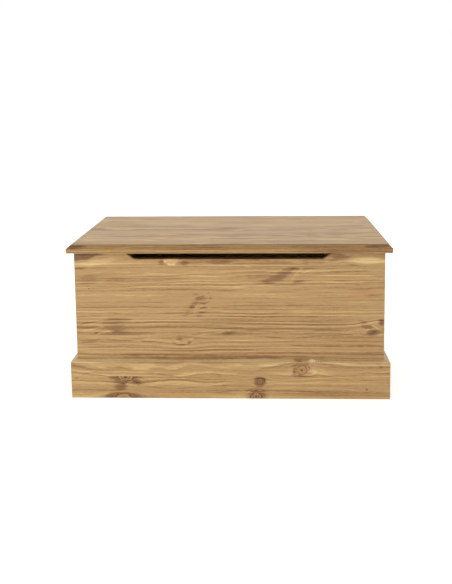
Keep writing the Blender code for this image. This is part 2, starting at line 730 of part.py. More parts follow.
def build_stay(carcass, lid_hinge, end_panel, lid_panel):
    """A slotted arm that hangs from the lid and slides on a stud in the right-hand end panel."""
    pivot = from_hinge(STAY_PIVOT_ANGLE)
    stud_place = from_hinge(STAY_PIVOT_ANGLE + STAY_STUD_ANGLE)
    stay_pivot = new_joint("stay_pivot_axis", pivot, lid_hinge)

    slot_radius = STUD_NECK_RADIUS + RUNNING_GAP
    slot_start = STAY_REACH_CLOSED - STAY_SLOT_PLAY
    slot_end = STAY_REACH_OPEN + STAY_SLOT_PLAY
    outlines = [
        stadium(0, slot_end, ARM_WIDTH / 2, ARM_ARC_STEPS),
        stadium(slot_start, slot_end, slot_radius, ARM_ARC_STEPS),
        circle((0, 0), RIVET_RADIUS + RUNNING_GAP, TURNED_STEPS),
    ]
    mesh = plate_mesh("stay_arm", outlines, ARM_THICKNESS)
    hang = Matrix.Rotation(STAY_LEAN - math.pi / 2, 3, "X")
    place = pivot + X_AXIS * (ARM_OUTER_X + ARM_INNER_X) / 2
    add_piece("stay_arm", mesh, place, BRASS, stay_pivot, hang @ SEEN_FROM_END)

    build_stud(carcass, stud_place, end_panel)
    build_bracket(lid_hinge, pivot, lid_panel)
    build_rivet(lid_hinge, pivot)


def build_stud(carcass, place, end_panel):
    """A turned stud: a shank in the panel, a flange, a neck for the arm and a low round cap."""
    flange_foot = -SEAT_GAP - STUD_FLANGE_THICKNESS
    neck_foot = flange_foot - 2 * RUNNING_GAP - ARM_THICKNESS
    cap_rim = neck_foot - STUD_CAP_RIM
    profile = [
        (0, STUD_SHANK_LENGTH),
        (STUD_SHANK_RADIUS, STUD_SHANK_LENGTH),
        (STUD_SHANK_RADIUS, -SEAT_GAP),
        (STUD_FLANGE_RADIUS, -SEAT_GAP),
        (STUD_FLANGE_RADIUS, flange_foot),
        (STUD_NECK_RADIUS, flange_foot),
        (STUD_NECK_RADIUS, neck_foot),
        (STUD_CAP_RADIUS, neck_foot),
    ]
    profile += dome(STUD_CAP_RADIUS, cap_rim, -STUD_CAP_DOME)
    panel_face = place + INNER_HALF * X_AXIS
    mesh = turned_mesh("stay_stud", profile)
    turn_round(add_piece("stay_stud", mesh, panel_face, BRASS, carcass, ALONG_X))

    hole_radius = STUD_SHANK_RADIUS + RUNNING_GAP
    hole_depth = STUD_SHANK_LENGTH + SEAT_GAP
    middle = panel_face + X_AXIS * (hole_depth - CUT_OVERRUN) / 2
    length = hole_depth + CUT_OVERRUN
    shape_with(end_panel, round_cutter("stay_stud_hole", middle, hole_radius, length, ALONG_X))


def build_bracket(lid_hinge, pivot, lid_panel):
    """An angle bracket under the lid: its flange is screwed up, and its tongue holds the arm."""
    top = LID_UNDERSIDE - SEAT_GAP
    under = top - BRACKET_THICKNESS
    tip = pivot.z - BRACKET_TONGUE_RADIUS
    flange_x = TONGUE_OUTER_X - BRACKET_FLANGE_WIDTH
    angle = [
        (flange_x, top),
        (flange_x, under),
        (TONGUE_INNER_X, under),
        (TONGUE_INNER_X, tip),
        (TONGUE_OUTER_X, tip),
        (TONGUE_OUTER_X, top),
    ]
    mesh = plate_mesh("stay_bracket", [angle], BRACKET_FLANGE_LENGTH)
    place = Vector((0, pivot.y, 0))
    bracket = add_piece("stay_bracket", mesh, place, BRASS, lid_hinge, FACING_FRONT)

    half = BRACKET_FLANGE_LENGTH / 2
    above = top - pivot.z + CUT_OVERRUN
    shoulder = under - pivot.z
    slope = math.atan2(shoulder, half - BRACKET_TONGUE_RADIUS)
    tongue = arc((0, 0), BRACKET_TONGUE_RADIUS, -math.pi + slope, -slope, ARM_ARC_STEPS)
    outline = [(half, shoulder), (half, above), (-half, above), (-half, shoulder)] + tongue
    width = BRACKET_FLANGE_WIDTH + 2 * CUT_OVERRUN
    mesh = plate_mesh("bracket_side_view", [outline], width)
    centre = pivot + X_AXIS * (TONGUE_OUTER_X - BRACKET_FLANGE_WIDTH / 2)
    shape_with(bracket, as_cutter("bracket_side_view", mesh, centre, SEEN_FROM_END), "INTERSECT")

    radius, length = RIVET_RADIUS + RUNNING_GAP, BRACKET_THICKNESS + 2 * CUT_OVERRUN
    centre = pivot + X_AXIS * (TONGUE_OUTER_X + TONGUE_INNER_X) / 2
    shape_with(bracket, round_cutter("bracket_rivet_hole", centre, radius, length, ALONG_X))
    head = round_head(BRACKET_SCREW_HEAD_RADIUS, BRACKET_SCREW_HEAD_RISE)
    screw_x = (flange_x + TONGUE_INNER_X) / 2
    for side, name in ((-1, "front"), (1, "back")):
        screw_y = pivot.y + side * (half - BRACKET_SCREW_MARGIN)
        drive_screw(
            f"stay_bracket_screw_{name}",
            Vector((screw_x, screw_y, under)),
            POINTING_UP,
            head,
            BRACKET_SCREW_LENGTH,
            0,
            lid_hinge,
            (bracket, lid_panel),
        )


def build_rivet(lid_hinge, pivot):
    """The rivet that the arm turns on, headed over on both sides."""
    outer_face = ARM_OUTER_X + RUNNING_GAP
    inner_face = TONGUE_INNER_X - RUNNING_GAP
    half = (outer_face - inner_face) / 2
    rim = half + RIVET_HEAD_RIM
    upper = dome(RIVET_HEAD_RADIUS, rim, RIVET_HEAD_DOME)
    profile = list(reversed(upper)) + [(RIVET_HEAD_RADIUS, half), (RIVET_RADIUS, half)]
    profile += [(radius, -height) for radius, height in reversed(profile)]
    place = pivot + X_AXIS * (outer_face + inner_face) / 2
    mesh = turned_mesh("stay_rivet", profile)
    turn_round(add_piece("stay_rivet", mesh, place, BRASS, lid_hinge, ALONG_X))


def build_trunk():
    carcass = new_joint("carcass_origin", Vector((0, 0, 0)))
    lid_hinge = new_joint("lid_hinge_axis", HINGE_AXIS, carcass)
    back_panel, end_panels = build_panels(carcass)
    build_plinth(carcass)
    build_posts(carcass)
    build_base(carcass)
    lid_panel = build_lid(lid_hinge)
    for side, name in ((-1, "left"), (1, "right")):
        build_hinge(name, side * HINGE_CENTRE, carcass, lid_hinge, back_panel, lid_panel)
    build_stay(carcass, lid_hinge, end_panels["right"], lid_panel)


clear_scene()
trunk = new_collection("storage_trunk")
cutters = new_collection("cutters")
build_trunk()
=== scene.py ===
import math

import bmesh
import bpy
from mathutils import Matrix, Vector


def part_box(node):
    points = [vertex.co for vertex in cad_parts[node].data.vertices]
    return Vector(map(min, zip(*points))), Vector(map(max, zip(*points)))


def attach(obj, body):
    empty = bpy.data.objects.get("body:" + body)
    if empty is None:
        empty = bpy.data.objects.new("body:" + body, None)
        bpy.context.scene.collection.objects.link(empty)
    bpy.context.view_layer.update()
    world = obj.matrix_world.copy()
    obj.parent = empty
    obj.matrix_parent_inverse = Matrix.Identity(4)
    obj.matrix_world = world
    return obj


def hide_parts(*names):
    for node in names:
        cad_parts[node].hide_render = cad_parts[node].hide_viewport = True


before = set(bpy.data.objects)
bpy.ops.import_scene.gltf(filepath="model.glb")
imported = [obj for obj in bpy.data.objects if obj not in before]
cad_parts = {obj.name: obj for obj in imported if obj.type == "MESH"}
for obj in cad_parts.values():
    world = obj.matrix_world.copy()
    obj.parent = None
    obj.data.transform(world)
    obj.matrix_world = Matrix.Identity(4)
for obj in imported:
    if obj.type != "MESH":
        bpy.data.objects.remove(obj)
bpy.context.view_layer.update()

MM = 0.001
WHITE = (1.0, 1.0, 1.0, 1.0)

# The camera stands where the photograph was taken from, in front and a little to the right.
# The photograph is an off-centre crop, so its centre of perspective isn't the picture's middle.
PICTURE_WIDTH = 452
PICTURE_HEIGHT = 584
CENTRE_PIXEL = (237.07, 170.03)
FOCAL_PIXELS = 684.5
SENSOR_WIDTH = 36.0
EYE = Vector((0.0858, -1.9066, 0.7868))
CAMERA_YAW = math.radians(-2.052)
CAMERA_PITCH = math.radians(6.382)
CAMERA_ROLL = math.radians(0.574)

# Staves: how wide they are, and where one glue line lies, measured across each board
BOARD_STAVES = (0.0452, 0.3454)
PLINTH_STAVES = (0.0433, 0.0591)
LID_STAVES = (0.0440, -0.0253)


def srgb(red, green, blue):
    """A colour as seen on screen, from 0 to 255, as the linear colour that a node takes."""
    def linear(value):
        share = value / 255
        return share / 12.92 if share <= 0.04045 else ((share + 0.055) / 1.055) ** 2.4
    return (linear(red), linear(green), linear(blue), 1.0)


# Node helpers

INPUT_KINDS = {float: "Float", tuple: "Color", type(None): "Vector"}


def add(tree, kind, *sources, **options):
    """Adds a shader node. Its inputs are fed in order, or by name where a name starts with a capital.

    A source is another node's socket or a plain value. The other names are the node's settings.
    """
    node = tree.nodes.new("ShaderNode" + kind)
    named = {key: value for key, value in options.items() if key[0].isupper()}
    for key, value in options.items():
        if key not in named:
            setattr(node, key, value)
    pairs = list(zip(node.inputs, sources))
    pairs += [(node.inputs[key.replace("_", " ")], value) for key, value in named.items()]
    for socket, source in pairs:
        if isinstance(source, bpy.types.NodeSocket):
            tree.links.new(source, socket)
        elif source is not None:
            socket.default_value = source
    return node


def calc(tree, operation, *sources, clamp=False):
    return add(tree, "Math", *sources, operation=operation, use_clamp=clamp).outputs[0]


def vector_calc(tree, operation, *sources, result="Vector"):
    return add(tree, "VectorMath", *sources, operation=operation).outputs[result]


def fade(tree, value, start, end, low=0.0, high=1.0):
    """Goes smoothly from low, where the value is at start, to high, where it is at end."""
    return add(
        tree, "MapRange", Value=value, From_Min=start, From_Max=end, To_Min=low, To_Max=high,
        interpolation_type="SMOOTHSTEP",
    ).outputs[0]


def split(tree, vector):
    return add(tree, "SeparateXYZ", vector).outputs


def part_of(tree, vector, axis):
    """One component of a vector. It takes up less of a big material's memory than splitting it."""
    unit = tuple(1.0 if letter == axis else 0.0 for letter in "XYZ")
    return vector_calc(tree, "DOT_PRODUCT", vector, unit, result="Value")


def join(tree, x, y, z):
    return add(tree, "CombineXYZ", x, y, z).outputs[0]


def noise(tree, place, scale, detail=2.0, roughness=0.5, result="Fac"):
    """Noise with its own scale along each axis of the place."""
    stretched = vector_calc(tree, "MULTIPLY", place, scale)
    texture = add(tree, "TexNoise", Vector=stretched, Scale=1.0, Detail=detail, Roughness=roughness)
    return texture.outputs[result]


def dice(tree, x, y, z):
    """Three random values that hang on three numbers."""
    colour = add(tree, "TexWhiteNoise", join(tree, x, y, z), noise_dimensions="3D").outputs["Color"]
    return split(tree, colour)


def mix(tree, share, first, second, blend="MIX"):
    node = add(tree, "Mix", data_type="RGBA", blend_type=blend)
    for index, source in ((0, share), (6, first), (7, second)):
        if isinstance(source, bpy.types.NodeSocket):
            tree.links.new(source, node.inputs[index])
        else:
            node.inputs[index].default_value = source
    return node.outputs[2]


def colour_ramp(tree, value, stops, interpolation="EASE"):
    node = add(tree, "ValToRGB", value)
    ramp = node.color_ramp
    ramp.interpolation = interpolation
    while len(ramp.elements) < len(stops):
        ramp.elements.new(1.0)
    for element, (position, colour) in zip(ramp.elements, stops):
        element.position = position
        element.color = colour
    return node.outputs["Color"]


def new_group(name, inputs, outputs):
    """An empty node group. Inputs are defaults by name, where None is a vector's. Outputs are kinds."""
    tree = bpy.data.node_groups.new(name, "ShaderNodeTree")
    for label, value in inputs.items():
        kind = INPUT_KINDS[type(value)]
        socket = tree.interface.new_socket(label, in_out="INPUT", socket_type="NodeSocket" + kind)
        if value is not None:
            socket.default_value = value
    for label, kind in outputs.items():
        tree.interface.new_socket(label, in_out="OUTPUT", socket_type="NodeSocket" + kind)
    entry = tree.nodes.new("NodeGroupInput").outputs
    leave = tree.nodes.new("NodeGroupOutput").inputs
    return tree, entry, leave


def deliver(tree, leave, **results):
    for label, socket in results.items():
        tree.links.new(socket, leave[label.replace("_", " ")])


def use(tree, group, **sources):
    """Places a group in a tree, with its inputs by name."""
    return add(tree, "Group", node_tree=group, **sources).outputs


# Wood groups

# Marks and knots, in shares of their own size: how far their outline wanders, where a knot's core and
# halo begin and end, how its rings, pith and bark shade it, and how it bends the grain round it
MARK_RUFFLE = 0.9
KNOT_RUFFLE = 0.55
KNOT_EDGE = (1.08, 0.84)
KNOT_HALO = (2.3, 0.9)
KNOT_RINGS = 17.0
KNOT_RING_SHADE = (0.19, 0.34)
KNOT_PITH = (0.34, 0.02, 0.0, 0.55)
KNOT_BARK = (0.70, 0.98, 0.0, 0.50)
KNOT_BEND_REACH = (0.36, 0.52, 0.0)
KNOT_BEND = -0.86

# Each stave's luck: how far apart in the log two staves come from, and how far beside and below them
# its pith lies, as a spread and a least distance
LUCK_SEEDS = (0.37, 7.91)
LOG_SPREAD = 9.0
PITH_BESIDE = (0.080, 0.022)
PITH_BELOW = (0.034, 0.008)
PITH_LEAN = 0.022

# How the rings wander, as a noise scale and a distance, and how they bunch, fade and vary in strength
RING_SPACING = 4.4 * MM
RING_DRIFTS = (
    ((2.0, 7.0, 7.0), 20.0 * MM), ((8.0, 26.0, 26.0), 9.0 * MM), ((40.0, 160.0, 160.0), 1.6 * MM),
)
RING_BUNCHES = 0.42
BUNCH_SHIFT = 1.7
YEAR_STRENGTH = (0.65, 0.35)
FADING_SCALE = (5.0, 60.0, 60.0)
FADING = (0.30, 0.62, 0.25, 1.15)

# A ring's pale early wood and dark late wood, in shares of a year's growth, and the late wood's depth
EARLY_WOOD = ((0.46, 0.76), (1.0, 0.88))
LATE_WOOD = ((0.0, 0.06), (0.40, 0.12))
LATE_WOOD_DEPTH = -0.62

# Noise scales of streaks, fibres and blotches, and where a glue line fades in beside its joint
STREAK_SCALE = (3.0, 230.0, 230.0)
FIBRE_SCALE = (75.0, 900.0, 900.0)
BLOTCH_SCALE = (5.0, 24.0, 24.0)
GLUE_LINE = (0.6 * MM, 0.15 * MM)

# How far each part of the figure lightens or darkens the wood, and the tones of plain wood
FIGURE_TONES = {"Ring": 0.24, "Streak": 0.52, "Fibre": 0.46, "Blotch": 0.15, "Stave": 0.10}
PLAIN_TONE = 0.478
MIDDLE_TONE = 0.52
MARK_TONE = 0.36
GLUE_TONE = -0.10
HALO_TONE = -0.26
WOOD_STOPS = [
    (0.0, srgb(90, 55, 27)), (0.28, srgb(146, 106, 61)), (0.52, srgb(188, 151, 102)),
    (0.78, srgb(214, 180, 126)), (1.0, srgb(232, 204, 152)),
]
KNOT_STOPS = [
    (0.0, srgb(196, 156, 108)), (0.35, srgb(176, 128, 80)), (0.70, srgb(130, 84, 46)),
    (1.0, srgb(66, 37, 20)),
]
REDDER = (1.05, 0.90, 0.84, 1.0)
GREENER = (0.96, 1.02, 0.86, 1.0)
BLOTCH_WARMTH = -0.9
WARMTH_SHARE = 0.9

# Wear on arrises, and the wax: how far each part of the figure changes its gloss and its relief
WEAR_REACH = 2.8 * MM
WEAR_PATCH_SCALE = (45.0, 45.0, 45.0)
WEAR_PATCHES = (0.35, 0.68, 0.35, 1.4)
RUBBED_SCALE = (9.0, 9.0, 9.0)
WAX_DULLNESS = 0.42
RUBBED_ROUGHNESS = 0.16
WORN_ROUGHNESS = 0.08
FIGURE_ROUGHNESS = {"Fibre": 0.20, "Core": -0.07}
MIDDLE_RELIEF = 0.5
FIGURE_RELIEF = {"Ring": 0.30, "Fibre": 0.50, "Glue": -0.35, "Shade": -0.45}
RUBBED_RELIEF = 0.40

OVAL_SOCKETS = {
    "Location": None, "Rotation": None, "Scale": None, "Stave Middle": 0.0, "Half Stave": 1.0,
}


def reach_of(tree, place, entry):
    """How far out a place lies in an oval that ends at one, and whether it's in the oval's stave."""
    turned = add(
        tree, "Mapping", place, entry["Location"], entry["Rotation"], entry["Scale"],
        vector_type="TEXTURE",
    ).outputs[0]
    reach = vector_calc(tree, "LENGTH", turned, result="Value")
    stave = calc(tree, "COMPARE", part_of(tree, place, "Y"), entry["Stave Middle"], entry["Half Stave"])
    return turned, reach, stave


def build_figure_and_paint_mark():
    """A soft or crisp oval of the wood's figure or of painted light and shade, kept within one stave
    and run along the grain.

    The field holds the place along and across the grain, and the tone that the marks before have
    given it, so each mark waits for the one before it.
    """
    tree, entry, leave = new_group(
        "figure_and_painted_light_oval",
        {"Field": None, "Ruffle": 0.0, "Edge": 0.3, "Lightness": 0.0, **OVAL_SOCKETS},
        {"Field": "Vector"},
    )
    _, reach, stave = reach_of(tree, entry["Field"], entry)
    reach = calc(tree, "MULTIPLY_ADD", entry["Ruffle"], MARK_RUFFLE, reach)
    change = fade(tree, reach, 1.0, entry["Edge"], 0.0, entry["Lightness"])
    change = calc(tree, "MULTIPLY", change, stave)
    deliver(tree, leave, Field=vector_calc(tree, "ADD", entry["Field"], join(tree, 0.0, 0.0, change)))
    return tree


def build_knot():
    """A branch through the board: the grain parts round it, and it has rings and a halo of its own."""
    tree, entry, leave = new_group(
        "pine_knot",
        {
            "Place": None, "Ruffle": 0.0, "Grain": None, "Core": 0.0, "Shade": 0.0, "Halo": 0.0,
            "Darkness": 1.0, "Solid": 1.0, **OVAL_SOCKETS,
        },
        {"Grain": "Vector", "Core": "Float", "Shade": "Float", "Halo": "Float"},
    )
    turned, reach, stave = reach_of(tree, entry["Place"], entry)
    reach = calc(tree, "MULTIPLY_ADD", entry["Ruffle"], KNOT_RUFFLE, reach)
    core = fade(tree, reach, *KNOT_EDGE)
    core = calc(tree, "MULTIPLY", calc(tree, "MULTIPLY", core, stave), entry["Solid"])
    rings = calc(tree, "SINE", calc(tree, "MULTIPLY", reach, KNOT_RINGS))
    rings = calc(tree, "MULTIPLY_ADD", rings, *KNOT_RING_SHADE)
    pith = fade(tree, reach, *KNOT_PITH)
    bark = fade(tree, reach, *KNOT_BARK)
    shade = calc(tree, "ADD", calc(tree, "ADD", rings, pith), bark)
    shade = calc(tree, "MULTIPLY", calc(tree, "MULTIPLY", shade, entry["Darkness"]), core)
    halo = calc(tree, "MULTIPLY", fade(tree, reach, *KNOT_HALO), entry["Darkness"])
    halo = calc(tree, "MULTIPLY", halo, stave)
    wide = vector_calc(tree, "MULTIPLY", turned, KNOT_BEND_REACH)
    wide = vector_calc(tree, "DOT_PRODUCT", wide, wide, result="Value")
    pull = calc(tree, "EXPONENT", calc(tree, "MULTIPLY", wide, -1.0))
    pull = calc(tree, "MULTIPLY", calc(tree, "MULTIPLY", pull, stave), KNOT_BEND)
    away = vector_calc(tree, "SUBTRACT", entry["Place"], entry["Location"])
    bend = join(tree, 0.0, calc(tree, "MULTIPLY", part_of(tree, away, "Y"), pull), 0.0)
    deliver(
        tree, leave,
        Grain=vector_calc(tree, "ADD", entry["Grain"], bend),
        Core=calc(tree, "MAXIMUM", entry["Core"], core),
        Shade=calc(tree, "MAXIMUM", entry["Shade"], shade),
        Halo=calc(tree, "MAXIMUM", entry["Halo"], halo),
    )
    return tree


def build_growth_rings():
    """Sawn pine, glued from staves that each come from another part of a log.

    The rings are cylinders round the log's pith, so the figure on a face, an edge and an end agree.
    """
    tree, entry, leave = new_group(
        "growth_rings",
        {
            "Place": None, "Grain": None, "Stave Width": BOARD_STAVES[0], "Stave Start": 0.0,
            "Seed": 0.0, "Ring Spacing": RING_SPACING, "Waver": 1.0,
        },
        dict.fromkeys(("Ring", "Streak", "Fibre", "Glue", "Stave", "Blotch"), "Float"),
    )
    across = part_of(tree, entry["Place"], "Y")
    share = calc(tree, "SUBTRACT", across, entry["Stave Start"])
    share = calc(tree, "DIVIDE", share, entry["Stave Width"])
    index = calc(tree, "FLOOR", share)
    middle = calc(tree, "ADD", index, 0.5)
    middle = calc(tree, "MULTIPLY_ADD", middle, entry["Stave Width"], entry["Stave Start"])
    luck, more_luck = (dice(tree, index, entry["Seed"], seed) for seed in LUCK_SEEDS)
    shift = vector_calc(tree, "SCALE", join(tree, luck[0], luck[1], luck[2]), None, None, LOG_SPREAD)

    grain_along, grain_across, grain_through = split(tree, entry["Grain"])
    moved = vector_calc(tree, "ADD", entry["Grain"], shift)
    drift = (0.0, 0.0, 0.0)
    for scale, size in RING_DRIFTS:
        slow = noise(tree, moved, scale, detail=1.0, result="Color")
        slow = vector_calc(tree, "SUBTRACT", slow, (0.5, 0.5, 0.5))
        drift = vector_calc(tree, "MULTIPLY_ADD", slow, (size, size, size), drift)
    drift = vector_calc(tree, "SCALE", drift, None, None, entry["Waver"])

    # The pith lies beside the stave, so its rings run nearly straight along the face
    side = calc(tree, "SIGN", calc(tree, "SUBTRACT", luck[0], 0.5))
    pith = calc(tree, "MULTIPLY", side, calc(tree, "MULTIPLY_ADD", luck[1], *PITH_BESIDE))
    lean = calc(tree, "MULTIPLY", calc(tree, "SUBTRACT", luck[2], 0.5), PITH_LEAN)
    beside = calc(tree, "SUBTRACT", calc(tree, "SUBTRACT", grain_across, middle), pith)
    beside = calc(tree, "MULTIPLY_ADD", grain_along, lean, beside)
    below = calc(tree, "ADD", grain_through, calc(tree, "MULTIPLY_ADD", more_luck[0], *PITH_BELOW))
    spot = vector_calc(tree, "ADD", join(tree, beside, below, 0.0), drift)
    spot = vector_calc(tree, "MULTIPLY", spot, (1.0, 1.0, 0.0))
    radius = vector_calc(tree, "LENGTH", spot, result="Value")
    count = calc(tree, "DIVIDE", radius, entry["Ring Spacing"])
    bunch = add(
        tree, "TexNoise", W=calc(tree, "ADD", calc(tree, "MULTIPLY", count, RING_BUNCHES), index),
        Scale=1.0, Detail=1.0, noise_dimensions="1D",
    ).outputs[0]
    count = calc(tree, "MULTIPLY_ADD", bunch, BUNCH_SHIFT, count)
    phase = calc(tree, "FRACT", count)
    luck_of_year = add(
        tree, "TexWhiteNoise", join(tree, calc(tree, "FLOOR", count), index, entry["Seed"]),
        noise_dimensions="3D",
    ).outputs["Value"]
    strength = calc(tree, "MULTIPLY_ADD", luck_of_year, *YEAR_STRENGTH)
    fading = fade(tree, noise(tree, moved, FADING_SCALE, detail=1.0), *FADING)
    strength = calc(tree, "MULTIPLY", strength, fading)
    light_line, dark_line = (
        calc(tree, "MULTIPLY", fade(tree, phase, *rise), fade(tree, phase, *fall))
        for rise, fall in (EARLY_WOOD, LATE_WOOD)
    )
    ring = calc(tree, "MULTIPLY_ADD", dark_line, LATE_WOOD_DEPTH, light_line)
    ring = calc(tree, "MULTIPLY", ring, strength)

    streak = calc(tree, "SUBTRACT", noise(tree, moved, STREAK_SCALE, detail=3.0), 0.5)
    fibre = calc(tree, "SUBTRACT", noise(tree, moved, FIBRE_SCALE, roughness=0.6), 0.5)
    blotch = calc(tree, "SUBTRACT", noise(tree, moved, BLOTCH_SCALE), 0.5)

    edge = calc(tree, "ABSOLUTE", calc(tree, "SUBTRACT", calc(tree, "FRACT", share), 0.5))
    gap = calc(tree, "MULTIPLY", calc(tree, "SUBTRACT", 0.5, edge), entry["Stave Width"])
    deliver(
        tree, leave, Ring=ring, Streak=streak, Fibre=fibre, Blotch=blotch,
        Glue=fade(tree, gap, *GLUE_LINE),
        Stave=calc(tree, "SUBTRACT", more_luck[2], 0.5),
    )
    return tree


def build_wood_colour():
    """Mixes rings, fibres, marks and knots to one waxed colour."""
    tree, entry, leave = new_group(
        "wood_colour",
        {
            "Ring": 0.0, "Streak": 0.0, "Fibre": 0.0, "Glue": 0.0, "Stave": 0.0, "Blotch": 0.0,
            "Tone": 0.0, "Warmth": 0.0, "Core": 0.0, "Shade": 0.0, "Halo": 0.0, "Contrast": 1.0,
            "Tint": WHITE,
        },
        {"Color": "Color"},
    )
    tone = PLAIN_TONE
    for label, share in FIGURE_TONES.items():
        tone = calc(tree, "MULTIPLY_ADD", entry[label], share, tone)
    tone = calc(tree, "SUBTRACT", tone, MIDDLE_TONE)
    tone = calc(tree, "MULTIPLY_ADD", tone, entry["Contrast"], MIDDLE_TONE)
    tone = calc(tree, "MULTIPLY_ADD", entry["Tone"], MARK_TONE, tone)
    tone = calc(tree, "MULTIPLY_ADD", entry["Glue"], GLUE_TONE, tone)
    tone = calc(tree, "MULTIPLY_ADD", entry["Halo"], HALO_TONE, tone, clamp=True)
    wood = colour_ramp(tree, tone, WOOD_STOPS)
    redder = mix(tree, 1.0, wood, REDDER, blend="MULTIPLY")
    greener = mix(tree, 1.0, wood, GREENER, blend="MULTIPLY")
    drift = calc(tree, "MULTIPLY_ADD", entry["Blotch"], BLOTCH_WARMTH, entry["Warmth"])
    wood = mix(tree, calc(tree, "MULTIPLY", drift, WARMTH_SHARE, clamp=True), wood, redder)
    wood = mix(tree, calc(tree, "MULTIPLY", drift, -WARMTH_SHARE, clamp=True), wood, greener)
    wood = mix(tree, entry["Core"], wood, colour_ramp(tree, entry["Shade"], KNOT_STOPS))
    wood = mix(tree, 1.0, wood, entry["Tint"], blend="MULTIPLY")
    deliver(tree, leave, Color=wood)
    return tree


def build_worn_edge():
    """One near a box's arrises and zero on its faces, broken up as years of handling leave them."""
    tree, entry, leave = new_group(
        "worn_edge",
        {"Place": None, "Low": None, "High": None, "Reach": WEAR_REACH},
        {"Wear": "Float"},
    )
    from_low = split(tree, vector_calc(tree, "SUBTRACT", entry["Place"], entry["Low"]))
    from_high = split(tree, vector_calc(tree, "SUBTRACT", entry["High"], entry["Place"]))
    nearest = [calc(tree, "MINIMUM", low, high) for low, high in zip(from_low, from_high)]
    total, least, most = (
        calc(tree, operation, calc(tree, operation, nearest[0], nearest[1]), nearest[2])
        for operation in ("ADD", "MINIMUM", "MAXIMUM")
    )
    second = calc(tree, "SUBTRACT", calc(tree, "SUBTRACT", total, least), most)
    patches = noise(tree, entry["Place"], WEAR_PATCH_SCALE, detail=3.0)
    limit = calc(tree, "MULTIPLY", entry["Reach"], fade(tree, patches, *WEAR_PATCHES))
    deliver(tree, leave, Wear=fade(tree, second, limit, 0.0))
    return tree


def build_wax():
    """Roughness and fine relief of a waxed or a bare wooden face."""
    tree, entry, leave = new_group(
        "wax_film",
        {
            "Place": None, "Ring": 0.0, "Fibre": 0.0, "Glue": 0.0, "Core": 0.0, "Shade": 0.0,
            "Wear": 0.0, "Dullness": WAX_DULLNESS,
        },
        {"Roughness": "Float", "Height": "Float"},
    )
    rubbed = calc(tree, "SUBTRACT", noise(tree, entry["Place"], RUBBED_SCALE, detail=3.0), 0.5)
    rough = calc(tree, "MULTIPLY_ADD", rubbed, RUBBED_ROUGHNESS, entry["Dullness"])
    for label, share in FIGURE_ROUGHNESS.items():
        rough = calc(tree, "MULTIPLY_ADD", entry[label], share, rough)
    rough = calc(tree, "MULTIPLY_ADD", entry["Wear"], WORN_ROUGHNESS, rough, clamp=True)
    height = MIDDLE_RELIEF
    for label, share in FIGURE_RELIEF.items():
        height = calc(tree, "MULTIPLY_ADD", entry[label], share, height)
    height = calc(tree, "MULTIPLY_ADD", rubbed, RUBBED_RELIEF, height)
    deliver(tree, leave, Roughness=rough, Height=height)
    return tree


FIGURE_AND_PAINT_MARK = build_figure_and_paint_mark()
PINE_KNOT = build_knot()
GROWTH_RINGS = build_growth_rings()
WOOD_COLOUR = build_wood_colour()
WORN_EDGE = build_worn_edge()
WAX_FILM = build_wax()


# Half the depth of an oval, which goes right through its board
THROUGH = 1.0e6


def oval(u, v, half_length, half_width, turn):
    """An oval's values from its middle, half sizes and turn, in millimetres and degrees."""
    return {
        "Location": (u * MM, v * MM, 0.0), "Rotation": (0.0, 0.0, math.radians(turn)),
        "Scale": (half_length * MM, half_width * MM, THROUGH),
    }


def mark(u, v, long, wide, tone, warm=0.0, turn=0.0, edge=0.3):
    """A mark on a board, of its figure or of painted light and shade: its oval, how much lighter and
    redder it is, and its edge.
    """
    return {**oval(u, v, long, wide, turn), "Edge": edge}, tone, warm


def knot(u, v, long, wide, dark=1.0, turn=0.0, solid=1.0):
    """A knot: its oval, and how dark it is. A knot that isn't solid only bends the grain."""
    return {**oval(u, v, long, wide, turn), "Darkness": dark, "Solid": solid}


def traced(lines):
    """Thin lines in the figure, as overlapping marks. Each has its places, half width and tone."""
    marks = []
    for points, wide, tone in lines:
        for (u1, v1), (u2, v2) in zip(points, points[1:]):
            long = math.hypot(u2 - u1, v2 - v1) * LINE_OVERLAP
            turn = math.degrees(math.atan2(v2 - v1, u2 - u1))
            u, v = (u1 + u2) / 2, (v1 + v2) / 2
            marks.append(mark(u, v, long, wide, tone, turn=turn, edge=LINE_EDGE))
    return marks


def stave_of(values, staves):
    """The middle and half the width of the stave in which a mark lies."""
    width, start = staves
    index = math.floor((values["Location"][1] - start) / width)
    return {"Stave_Middle": start + (index + 0.5) * width, "Half_Stave": width / 2}


# Traced lines: their tones, their half widths in millimetres, their marks' overlap and soft edge
LIGHT, DARK = 0.48, -0.48
FINE, FINER = 1.7, 1.3
LINE_OVERLAP = 0.62
LINE_EDGE = 0.25
